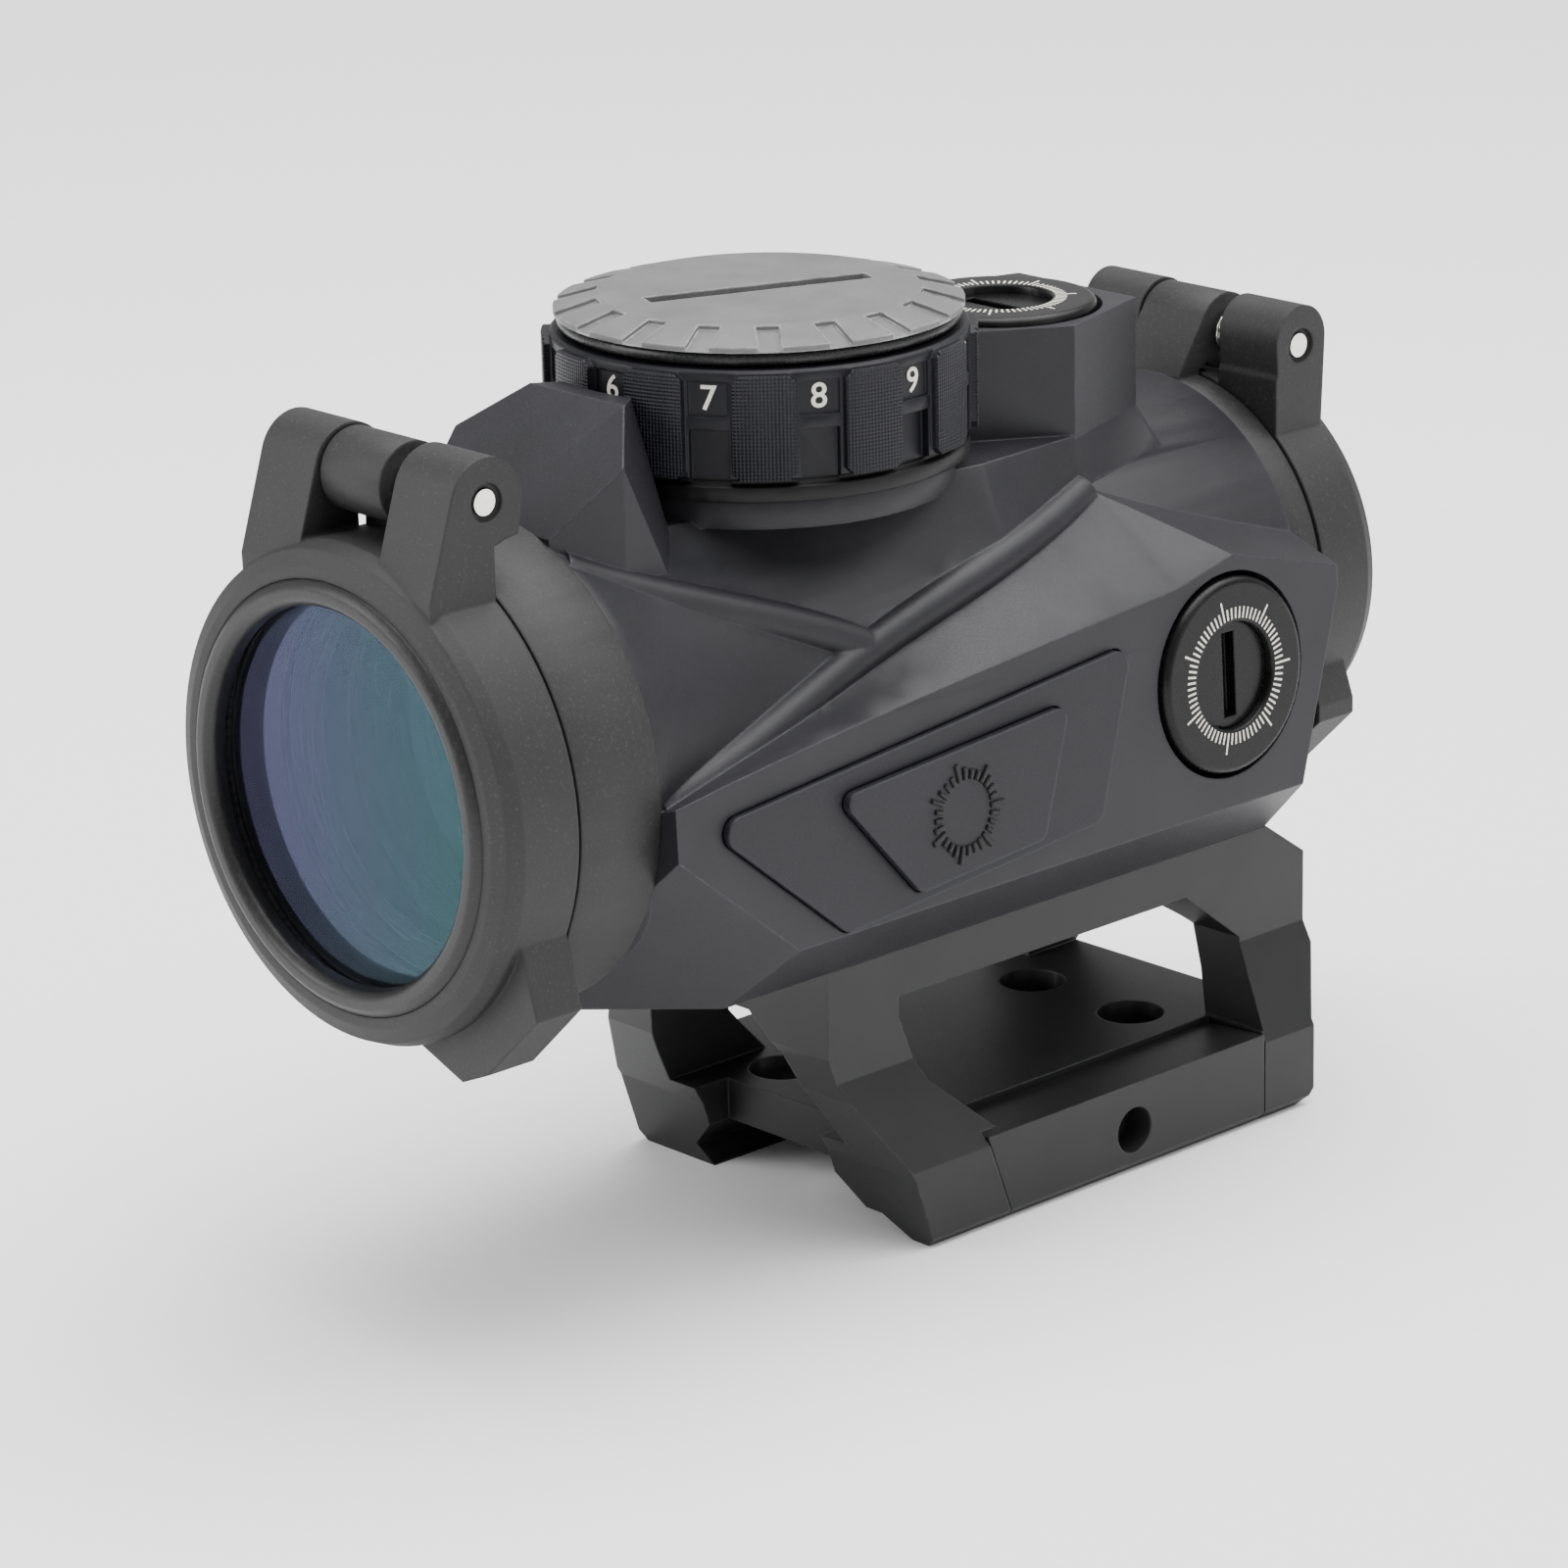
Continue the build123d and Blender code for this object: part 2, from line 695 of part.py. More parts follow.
# ------------------------------------------------------------ dial and cap
def brightness_dial():
    """Knurled ring that turns about the battery post."""
    body = turned_z([
        (post_radius + running_gap, dial_bottom),
        (dial_neck_radius, dial_bottom),
        (dial_neck_radius, dial_neck_top),
        (dial_groove_radius, dial_groove_z),
        (dial_groove_radius, dial_groove_z + 0.3),
        (dial_radius, dial_pad_bottom),
        (dial_radius, dial_pad_top),
        (dial_radius - 0.3, dial_top),
        (circlip_radius + 0.3, dial_top),
        (circlip_radius + 0.3, circlip_z - 0.2),
        (post_radius + running_gap, circlip_z - 0.2),
    ])
    step = 360 / dial_positions
    half, inner_half = dial_pad_width / 2, dial_pad_width / 2 - dial_pad_corner
    pad = ring_z(dial_pad_radius, dial_radius - 1, dial_pad_bottom, dial_pad_top)
    pad &= prism_x([
        (-inner_half, dial_pad_bottom),
        (inner_half, dial_pad_bottom),
        (half, dial_pad_bottom + dial_pad_corner),
        (half, dial_pad_top - dial_pad_corner),
        (inner_half, dial_pad_top),
        (-inner_half, dial_pad_top),
        (-half, dial_pad_top - dial_pad_corner),
        (-half, dial_pad_bottom + dial_pad_corner),
    ], 0, far)
    between = (-dial_flute_width / 2, dial_flute_width / 2)
    flute = block((dial_radius - dial_recess_depth, far), between, (dial_pad_bottom - 0.3, dial_recess_top))
    window = block((dial_radius - dial_window_depth, far), between, (dial_window_floor, dial_window_top))
    for index in range(dial_positions):
        angle = dial_rest_angle + index * step
        body += Rot(0, 0, angle + step / 2) * pad
        body -= Rot(0, 0, angle) * (flute + window)
    return body


def battery_cap():
    """Cap with a coin slot, screwed into the battery post."""
    body = turned_z([
        (0, cap_neck_bottom),
        (cap_neck_radius, cap_neck_bottom),
        (cap_neck_radius, cap_rim_bottom),
        (cap_radius, cap_rim_bottom),
        (cap_radius, cap_rim_top),
        (cap_flat_radius, cap_top),
        (0, cap_top),
    ])
    body += disc_z(cap_thread_radius, cap_thread_bottom, cap_neck_bottom)
    body -= disc_z(cap_thread_bore, cap_thread_bottom - 1, cap_neck_bottom)
    slope = (cap_top - cap_rim_top) / (cap_radius - cap_flat_radius)
    inner, outer = cap_flat_radius + cap_groove_inset, cap_radius + sliver
    groove = prism_y([
        (inner, cap_top - slope * (inner - cap_flat_radius) - cap_groove_depth),
        (outer, cap_top - slope * (outer - cap_flat_radius) - cap_groove_depth),
        (outer, cap_top + sliver),
        (inner, cap_top + sliver),
    ], -cap_groove_width / 2, cap_groove_width / 2)
    for index in range(cap_grooves):
        body -= Rot(0, 0, index * 360 / cap_grooves) * groove
    slot = Box(cap_slot_length, cap_slot_width, 2 * cap_slot_depth)
    return body - Pos(0, 0, cap_top) * Rot(0, 0, cap_slot_angle) * slot


def cap_contact():
    """Coil that presses the battery down when the cap is tight."""
    height = cap_neck_bottom - battery_bottom - battery_height - 0.7
    coil = Helix(height / 5, height, 5.0)
    section = Plane(origin=coil @ 0, z_dir=coil % 0) * Circle(0.3)
    return Pos(0, 0, battery_bottom + battery_height + 0.4) * sweep(section, path=coil)


def battery_holder():
    outer = chamber_radius - 0.05
    return turned_z([
        (3.0, chamber_floor + board_thick),
        (outer, chamber_floor + board_thick),
        (outer, holder_rim_z),
        (battery_radius + 0.05, holder_rim_z),
        (battery_radius + 0.05, holder_floor_z),
        (3.0, holder_floor_z),
    ])


def battery():
    """Coin cell with a stepped lower electrode."""
    step = 0.5
    return turned_z([
        (0, battery_bottom),
        (battery_radius - 1.2, battery_bottom),
        (battery_radius - 1.2, battery_bottom + step),
        (battery_radius, battery_bottom + step),
        (battery_radius, battery_bottom + battery_height),
        (0, battery_bottom + battery_height),
    ])


def battery_spring():
    """Three-armed leaf under the coin cell."""
    hub = disc_z(2.6, chamber_floor + board_thick, battery_bottom - 0.3)
    arm = block((0, 7.5), (-0.8, 0.8), (battery_bottom - 0.3, battery_bottom))
    for index in range(3):
        hub += Rot(0, 0, index * 120) * arm
    return hub


# ------------------------------------------------------------ optic cell
def optic_cell():
    """Inner tube with a grooved bore and two pivot stubs."""
    outline = [
        (lens_seat_radius, cell_front),
        (cell_head_radius, cell_front),
        (cell_head_radius, cell_head_end),
        (cell_radius, cell_taper_end),
        (cell_radius, cell_rear),
        (cell_bore, cell_rear),
        (cell_bore, cone_bore_end),
    ]
    taper = (cone_bore_front - cell_bore) / (cone_bore_end - lens_seat_end)
    steps = int((cone_bore_end - lens_seat_end) / baffle_pitch)
    for index in range(steps, 0, -1):
        y = lens_seat_end + (index - 0.5) * baffle_pitch
        radius = cone_bore_front - taper * (y - lens_seat_end)
        outline += [
            (radius, y + 0.3 * baffle_pitch),
            (radius + baffle_depth, y + 0.1 * baffle_pitch),
            (radius, y - 0.3 * baffle_pitch),
        ]
    outline += [(cone_bore_front, lens_seat_end), (lens_seat_radius, lens_seat_end)]
    body = turned_y(outline)
    stub_reach = pivot_ring_outer - 0.3
    stubs = bar_along_x(pivot_stub_radius, -stub_reach, stub_reach, pivot_y, 0)
    body += stubs - disc_y(cell_radius - 0.5, -far, far)
    return body


def pivot_ring():
    """Gimbal ring: its stubs turn in the housing, the cell turns in it."""
    half = pivot_ring_length / 2
    body = ring_y(pivot_ring_outer, pivot_ring_inner, pivot_y - half, pivot_y + half)
    reach = pivot_room_radius + 0.5
    stubs = Pos(0, pivot_y, 0) * disc_z(pivot_stub_radius, -reach, reach)
    body += stubs - disc_y(pivot_ring_inner + 0.2, -far, far)
    return body - bar_along_x(pivot_stub_radius + running_gap, -far, far, pivot_y, 0)


def objective_lens():
    """Bonded lens with a bulged front face."""
    front = lens_seat_end - lens_edge
    clear = lens_ring_bore - 0.1
    sphere_radius = (clear ** 2 + lens_bulge ** 2) / (2 * lens_bulge)
    bulge = Pos(0, front - lens_bulge + sphere_radius, 0) * Sphere(sphere_radius)
    bulge &= disc_y(clear, front - lens_bulge, front + sliver)
    return disc_y(lens_seat_radius - 0.05, front, lens_seat_end) + bulge


def objective_ring():
    front = lens_seat_end - lens_edge - lens_ring_thick
    return ring_y(lens_seat_radius, lens_ring_bore, front, front + lens_ring_thick)


def eyepiece_lens():
    seat = rear_shoulder - eyepiece_step
    return disc_y(eyepiece_seat_radius, seat, seat + eyepiece_thick)


def eyepiece_ring():
    seat = rear_shoulder - eyepiece_step + eyepiece_thick
    return ring_y(eyepiece_seat_radius, cell_bore + 0.4, seat, seat + 1.4)


def bias_spring():
    """Bowed leaf riveted to the cell; its tips bear on the housing."""
    half = bias_length / 2
    crown = cell_radius + bias_thick / 2
    arc = ThreePointArc((crown + bias_lift, -half), (crown, 0), (crown + bias_lift, half))
    strip = Polyline((crown + bias_lift, -half), (crown + bias_lift - bias_thick, -half))
    inner = ThreePointArc(
        (crown + bias_lift - bias_thick, -half), (crown - bias_thick, 0), (crown + bias_lift - bias_thick, half))
    end = Polyline((crown + bias_lift - bias_thick, half), (crown + bias_lift, half))
    face = make_face(arc + strip + inner + end)
    leaf = extrude(face, bias_width / 2, both=True)
    leaf = Rot(0, -bias_angle, 0) * Pos(0, bias_y, 0) * leaf
    return leaf - disc_y(cell_radius, -far, far)


def led_holder():
    body = block((-2.4, 2.4), (emitter_y, emitter_y + 4.0), (-cell_bore - 0.2, -cell_bore + 2.6))
    return body & disc_y(cell_bore, -far, far)


def led_emitter():
    return block((-1.0, 1.0), (emitter_y - 0.8, emitter_y), (-cell_bore + 0.8, -cell_bore + 2.2))


# ------------------------------------------------------------ button
def button_pad():
    """Rubber pad set into the panel around the key."""
    body = rounded_plate(pad_outline, pad_corner, -pad_sunk, pad_proud)
    body -= rounded_plate(grown(key_outline, slip_gap), key_corner, -far, far)
    return panel.location * body


def power_button():
    return panel.location * rounded_plate(key_outline, key_corner, key_bottom, key_proud)


def switch_board():
    floor = -switch_well
    body = Pos(*switch_centre, floor) * Box(
        *switch_board_size, switch_board_thick, align=(Align.CENTER, Align.CENTER, Align.MIN))
    return panel.location * body


def tact_switch():
    base = switch_board_thick - switch_well
    body = Pos(*switch_centre, base) * Box(
        *switch_size, switch_height - 0.4, align=(Align.CENTER, Align.CENTER, Align.MIN))
    body += Pos(*switch_centre, 0) * disc_z(switch_nub_radius, base, base + switch_height)
    return panel.location * body


# ------------------------------------------------------------ riser mount
riser_top = axis_height - keel_drop
window_top = riser_top - riser_top_bar
riser_side = [
    (-29.1, riser_top), (24.3, riser_top), (29.3, riser_top - 3.5), (29.3, 9.1), (26.1, 3.5),
    (26.1, -3.0), (24.6, foot_bottom), (-21.2, foot_bottom), (-23.4, 2.2), (-27.7, 9.4), (-29.1, 13.3),
]
window_outline = [
    (-21.0, window_top), (14.0, window_top), (21.0, 11.4), (20.0, plate_top), (-13.0, plate_top),
    (-18.7, 9.2), (-21.0, window_top - 1.8),
]
arch_half = [(11.0, plate_top), (10.0, 7.7), (8.2, 12.4), (4.5, window_top - 1.4)]
bar_slope = bar_front_low - bar_front


def front_profile():
    """Half outline of the riser seen along the rail."""
    return [
        (riser_half_width, riser_top), (riser_half_width, foot_flare_top),
        (foot_half_width, foot_flare_bottom), (foot_half_width, foot_bottom + foot_chamfer),
        (foot_half_width - foot_chamfer, foot_bottom),
    ]


def rail_profile():
    """Space taken by the rail, with the open foot on the +X side."""
    lip = rail_half_width - hook_tip_x
    return [
        (-rail_flat_half, 0), (rail_flat_half, 0), (rail_half_width, -rail_edge_drop),
        (12.6, -rail_edge_drop), (15.7, foot_bottom), (15.7, foot_bottom - 1),
        (-hook_tip_x, foot_bottom - 1), (-hook_tip_x, -rail_edge_drop - lip), (-rail_half_width, -rail_edge_drop),
    ]


def riser_mount():
    right = front_profile()
    outline = right + [(-x, z) for x, z in reversed(right)]
    body = prism_x(riser_side, -foot_half_width, foot_half_width)
    body &= prism_y(outline, -far, far)
    body -= prism_x(window_outline, -far, far)
    arch = arch_half + [(-x, z) for x, z in reversed(arch_half)]
    body -= prism_y(arch, -far, far)
    body -= prism_y(rail_profile(), -far, far)
    body -= block((-rail_flat_half, rail_flat_half), (-far, plate_front), (-1, plate_top + 1))
    slot = [
        (bar_front - slip_gap, plate_top + 0.3), (bar_rear + slip_gap, plate_top + 0.3),
        (bar_rear + slip_gap, foot_bottom - 1), (bar_front_low - slip_gap, foot_bottom - 1),
        (bar_front_low - slip_gap, foot_bottom),
    ]
    body -= prism_x(slot, plate_half_width, far)
    body -= bar_along_x(bolt_radius + running_gap, -far, far, bolt_y, bolt_z)
    groove_half = bolt_radius + running_gap
    body -= block((-rail_half_width, rail_half_width), (bolt_y - groove_half, bolt_y + groove_half), (bolt_z, bolt_relief))
    body -= bar_along_x(bolt_head_radius + 0.15, -far, bolt_head_face + bolt_head_depth, bolt_y, bolt_z)
    for x in (-screw_x, screw_x):
        for y in (-screw_y, screw_y):
            hole = disc_z(access_radius, -rail_edge_drop, plate_top + 1)
            hole += disc_z(screw_head_radius + 0.15, window_top - 1, window_top + screw_counterbore)
            hole += disc_z(screw_radius + 0.15, window_top, riser_top + 1)
            body -= Pos(x, y, 0) * hole
    return body


def rail_clamp_bar():
    """Sliding jaw that grips the +X edge of the rail."""
    outline = [
        (bar_inner, bar_top_inner), (foot_half_width, bar_top_outer),
        (foot_half_width, foot_bottom + foot_chamfer), (foot_half_width - foot_chamfer, foot_bottom),
        (hook_tip_x, foot_bottom), (rail_half_width, -rail_edge_drop), (bar_inner, -rail_edge_drop),
    ]
    body = prism_y(outline, bar_front, bar_rear)
    height = plate_top + 0.3 - foot_bottom
    body = trim(body, (0, bar_front, plate_top + 0.3), (0, -height, -bar_slope))
    return body - bar_along_x(bolt_radius + running_gap, 0, far, bolt_y, bolt_z)


def clamp_screw():
    """Cross bolt, head on the -X side, threaded into the clamp bar."""
    body = bar_along_x(bolt_radius, bolt_head_face + 1, bolt_end, bolt_y, bolt_z)
    body += bar_along_x(bolt_head_radius, bolt_head_face, bolt_head_face + bolt_head_depth - 0.1, bolt_y, bolt_z)
    socket = Pos(bolt_head_face, bolt_y, bolt_z) * Rot(0, -90, 0) * hexagon_socket(bolt_socket, 2.0)
    return body - socket


def mount_screws():
    """Four cap screws that hold the sight on the riser."""
    screws = []
    for x in (-screw_x, screw_x):
        for y in (-screw_y, screw_y):
            head_top = window_top + screw_counterbore
            body = disc_z(screw_head_radius, head_top - screw_head_height, head_top)
            body += disc_z(screw_radius, head_top - 0.5, riser_top + screw_grip)
            socket = Rot(180, 0, 0) * hexagon_socket(screw_socket, 1.2)
            body -= Pos(0, 0, head_top - screw_head_height) * socket
            screws.append(Pos(x, y, 0) * body)
    return Compound(children=[s.solid() for s in screws])


# ------------------------------------------------------------ the assembly
front, rear = front_sizes(), rear_sizes()
windage_tip = -(panel_x - cell_radius) / math.cos(math.radians(panel_tilt))
elevation_tip = cell_radius + plunger_lead - tower_top

sight_nodes = {
    "main_housing": main_housing(),
    "front_cover_ring": cover_ring(front),
    "front_cover_frame": cover_frame(front),
    "front_cover_window": cover_window(front),
    "front_cover_bezel": cover_bezel(front),
    "front_hinge_pin": hinge_pin(front),
    "front_hinge_spring": hinge_spring(front),
    "rear_cover_ring": at_rear(cover_ring(rear)),
    "rear_cover_frame": at_rear(cover_frame(rear)),
    "rear_cover_window": at_rear(cover_window(rear)),
    "rear_cover_bezel": at_rear(cover_bezel(rear)),
    "rear_hinge_pin": at_rear(hinge_pin(rear)),
    "rear_hinge_spring": at_rear(hinge_spring(rear)),
    "optic_cell": optic_cell(),
    "pivot_ring": pivot_ring(),
    "bias_spring": bias_spring(),
    "objective_lens": objective_lens(),
    "objective_ring": objective_ring(),
    "eyepiece_lens": eyepiece_lens(),
    "eyepiece_ring": eyepiece_ring(),
    "led_holder": led_holder(),
    "led_emitter": led_emitter(),
    "brightness_dial": brightness_dial(),
    "dial_circlip": ring_z(circlip_radius, circlip_groove_radius, circlip_z, circlip_z + circlip_thick),
    "dial_seal": Pos(0, 0, dial_seal_z) * Torus(post_radius - dial_seal_section, dial_seal_section),
    "circuit_board": disc_z(chamber_radius - 0.1, chamber_floor, chamber_floor + board_thick),
    "battery_holder": battery_holder(),
    "battery_spring": battery_spring(),
    "battery": battery(),
    "battery_cap": battery_cap(),
    "cap_contact": cap_contact(),
    "cap_seal": Pos(0, 0, cap_seal_z) * Torus(cap_seal_radius, cap_seal_section),
    "elevation_scale_ring": elevation_place * scale_ring(),
    "elevation_screw": elevation_place * adjuster_screw(),
    "elevation_plunger": elevation_place * turret_plunger(elevation_tip),
    "elevation_seal": elevation_place * turret_seal(),
    "windage_scale_ring": windage_place * scale_ring(),
    "windage_screw": windage_place * Rot(0, 0, 90) * adjuster_screw(),
    "windage_plunger": windage_place * turret_plunger(windage_tip),
    "windage_seal": windage_place * turret_seal(),
    "button_pad": button_pad(),
    "power_button": power_button(),
    "switch_board": switch_board(),
    "tact_switch": tact_switch(),
}
mount_nodes = {
    "riser_mount": riser_mount(),
    "rail_clamp_bar": rail_clamp_bar(),
    "clamp_screw": clamp_screw(),
    "mount_screws": mount_screws(),
}
for name, shape in sight_nodes.items():
    export_step(SIGHT * shape, f"parts/{name}.step")
for name, shape in mount_nodes.items():
    export_step(shape, f"parts/{name}.step")
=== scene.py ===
import json
import math

import bmesh
import bpy
from mathutils import Matrix, Vector


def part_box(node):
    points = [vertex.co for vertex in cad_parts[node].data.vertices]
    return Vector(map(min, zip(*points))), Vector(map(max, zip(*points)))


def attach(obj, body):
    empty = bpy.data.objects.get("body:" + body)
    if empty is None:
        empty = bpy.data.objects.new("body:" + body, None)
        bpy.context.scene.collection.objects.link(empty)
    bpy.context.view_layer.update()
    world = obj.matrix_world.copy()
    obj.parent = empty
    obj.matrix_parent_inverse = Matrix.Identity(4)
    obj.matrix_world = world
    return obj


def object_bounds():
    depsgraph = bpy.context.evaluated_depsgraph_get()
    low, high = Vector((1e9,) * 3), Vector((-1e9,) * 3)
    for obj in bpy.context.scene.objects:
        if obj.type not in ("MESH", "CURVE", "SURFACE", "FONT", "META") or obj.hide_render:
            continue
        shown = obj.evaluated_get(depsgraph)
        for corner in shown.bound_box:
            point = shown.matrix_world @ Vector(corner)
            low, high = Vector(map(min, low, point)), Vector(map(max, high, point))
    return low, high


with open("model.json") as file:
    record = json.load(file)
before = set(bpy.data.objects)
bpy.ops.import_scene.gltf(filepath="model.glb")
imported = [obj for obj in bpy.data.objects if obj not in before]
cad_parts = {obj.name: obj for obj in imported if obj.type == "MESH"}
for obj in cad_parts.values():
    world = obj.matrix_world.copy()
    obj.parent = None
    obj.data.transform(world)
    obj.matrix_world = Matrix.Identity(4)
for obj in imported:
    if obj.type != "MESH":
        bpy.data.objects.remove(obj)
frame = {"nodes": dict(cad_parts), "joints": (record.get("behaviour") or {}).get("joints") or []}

bl_info = {
    "name": "Tube red dot sight",
    "version": (1, 0, 0),
    "blender": (4, 5, 0),
    "location": "3D View > Sidebar > Red dot sight",
    "description": "Finishes and lights the packed red dot sight",
    "category": "Object",
}

CAD_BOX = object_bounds()
MM = 0.001
NODES = frame["nodes"]

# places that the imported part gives
DIAL_LOW, DIAL_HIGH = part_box("brightness_dial")
DIAL_AXIS = Vector(((DIAL_LOW.x + DIAL_HIGH.x) / 2, (DIAL_LOW.y + DIAL_HIGH.y) / 2, 0))
JOINTS = {joint["name"]: joint for joint in frame["joints"]}

# dial numbers
DIAL_STEP = math.radians(30)
NUMBER_EIGHT_ANGLE = math.radians(-27)   # where the 8 stands at rest, from +X
NUMBER_RADIUS = 16.97 * MM               # just above the floor of the number windows
NUMBER_DROP = 2.4 * MM                   # middle of the numbers below the top of the dial
NUMBER_DEPTH = 0.06 * MM
SHADED_NECK_DROP = 9.0 * MM                     # top of the plain neck below the top of the dial; the neck below it is darkened as painted shade
CAP_HEIGHT_SHARE = 0.72                  # height of a number as a share of the type size

# adjuster scales
RING_PROUD = 0.65 * MM                   # scale rings stand this far out of the face they sit in
TICK_SINK = 0.02 * MM
TICK_INNER = 4.95 * MM
TICK_SHORT = 5.95 * MM
TICK_LONG = 6.8 * MM
TICK_WIDTH = 0.20 * MM
TICK_HEIGHT = 0.03 * MM
LONG_TICK_EVERY = 10

# light symbol on the key
SYMBOL_Y = -22.3 * MM
SYMBOL_Z = 35.5 * MM
KEY_PROUD = 1.35 * MM                    # key face in front of the panel
SYMBOL_INNER = 2.75 * MM
SYMBOL_OUTERS = (4.3 * MM, 3.6 * MM, 3.6 * MM, 3.8 * MM)
SYMBOL_TICK_WIDTH = 0.42 * MM
SYMBOL_TICK_HEIGHT = 0.22 * MM

# camera: three-quarter view from the front of the button side, slightly above
CAMERA_PLACE = Vector((0.3423, -0.3383, 0.1823))
CAMERA_AZIMUTH = math.radians(47.11)
CAMERA_ELEVATION = math.radians(17.81)
CAMERA_ROLL = math.radians(-1.21)
CAMERA_LENS = 133.67
CAMERA_SENSOR = 36.0

# studio, in metres from the middle of the sight
OVERHEAD_PLACE = Vector((0.02, 0.10, 0.55))
OVERHEAD_SIZE = 0.55
LEFT_PLACE = Vector((-0.30, -0.50, 0.28))
RIGHT_PLACE = Vector((0.60, 0.20, 0.22))
SIDE_BOX_SIZE = 0.35
CEILING_SPREAD = math.radians(80)
CEILING_TILT = (math.radians(-14), math.radians(8), 0)
PAPER_RADIUS = 3.0

# edges
SEAM_WELD = 0.000002                     # vertices of one seam are closer than this
BEVEL_ANGLE = math.radians(28)           # edges sharper than this are broken
WORN_AND_HIGHLIT_EDGE = 6.0                          # brightness of the lightened edges against the rest: partly worn anodise, partly painted edge highlight


def joint_line(name):
    """Point and direction of a joint, as vectors."""
    joint = JOINTS[name]
    return Vector(joint.get("pos_m", (0, 0, 0))), Vector(joint["axis"]).normalized()


# ---------------------------------------------------------------- settings
class SightFinish(bpy.types.PropertyGroup):
    anodise: bpy.props.FloatVectorProperty(
        name="Anodise", description="Black anodise of the housing", subtype="COLOR", size=3,
        default=(0.0125, 0.0123, 0.0150), min=0, max=1)
    mount_anodise: bpy.props.FloatVectorProperty(
        name="Mount anodise", description="Black anodise of the riser and clamp", subtype="COLOR", size=3,
        default=(0.0120, 0.0120, 0.0128), min=0, max=1)
    dial_anodise: bpy.props.FloatVectorProperty(
        name="Dial anodise", description="Black anodise of the knurled dial", subtype="COLOR", size=3,
        default=(0.0050, 0.0050, 0.0075), min=0, max=1)
    cap_anodise: bpy.props.FloatVectorProperty(
        name="Cap anodise", description="Dark grey anodise of the battery cap", subtype="COLOR", size=3,
        default=(0.120, 0.120, 0.122), min=0, max=1)
    nylon: bpy.props.FloatVectorProperty(
        name="Cover nylon", description="Moulded nylon of the flip covers", subtype="COLOR", size=3,
        default=(0.0160, 0.0158, 0.0160), min=0, max=1)
    rubber: bpy.props.FloatVectorProperty(
        name="Pad rubber", description="Rubber of the button pad", subtype="COLOR", size=3,
        default=(0.0070, 0.0068, 0.0095), min=0, max=1)
    legend: bpy.props.FloatVectorProperty(
        name="Legend paint", description="Off-white paint in the numbers and scales", subtype="COLOR", size=3,
        default=(0.78, 0.76, 0.68), min=0, max=1)
    coating: bpy.props.FloatVectorProperty(
        name="Lens coating", description="Main reflection colour of the lens coating",
        subtype="COLOR", size=3, default=(0.022, 0.055, 0.065), min=0, max=1)


class SightDetail(bpy.types.PropertyGroup):
    edge: bpy.props.FloatProperty(
        name="Machined edge", description="Width of the broken edges on machined parts", unit="LENGTH",
        default=0.00022, min=0, max=0.001)
    moulded_edge: bpy.props.FloatProperty(
        name="Moulded edge", description="Edge rounding of moulded parts", unit="LENGTH",
        default=0.00035, min=0, max=0.001)
    number_height: bpy.props.FloatProperty(
        name="Number height", description="Height of the dial numbers", unit="LENGTH",
        default=0.0021, min=0.0005, max=0.004)
    knurl_pitch: bpy.props.FloatProperty(
        name="Knurl pitch", description="Pitch of the knurl on the dial pads", unit="LENGTH",
        default=0.00042, min=0.0001, max=0.002)
    tick_count: bpy.props.IntProperty(
        name="Scale ticks", description="Ticks around each adjuster", default=70, min=10, max=120)
    sun_ticks: bpy.props.IntProperty(
        name="Symbol ticks", description="Raised ticks of the light symbol on the key",
        default=28, min=8, max=60)


class SightStage(bpy.types.PropertyGroup):
    floor_tone: bpy.props.FloatProperty(
        name="Floor tone", description="Brightness of the floor", default=0.93, min=0, max=1)
    overhead: bpy.props.FloatProperty(
        name="Overhead light", description="Power of the overhead soft box", default=4.0, min=0, max=100)
    ceiling: bpy.props.FloatProperty(
        name="Ceiling light", description="Strength of the broad light from the ceiling",
        default=3.6, min=0, max=20)
    left_key: bpy.props.FloatProperty(
        name="Left light", description="Power of the front left soft box", default=2.6, min=0, max=100)
    right_fill: bpy.props.FloatProperty(
        name="Right light", description="Power of the right-hand soft box", default=0.5, min=0, max=100)
    surround: bpy.props.FloatProperty(
        name="Surround", description="Brightness of the plain surround", default=0.62, min=0, max=5)


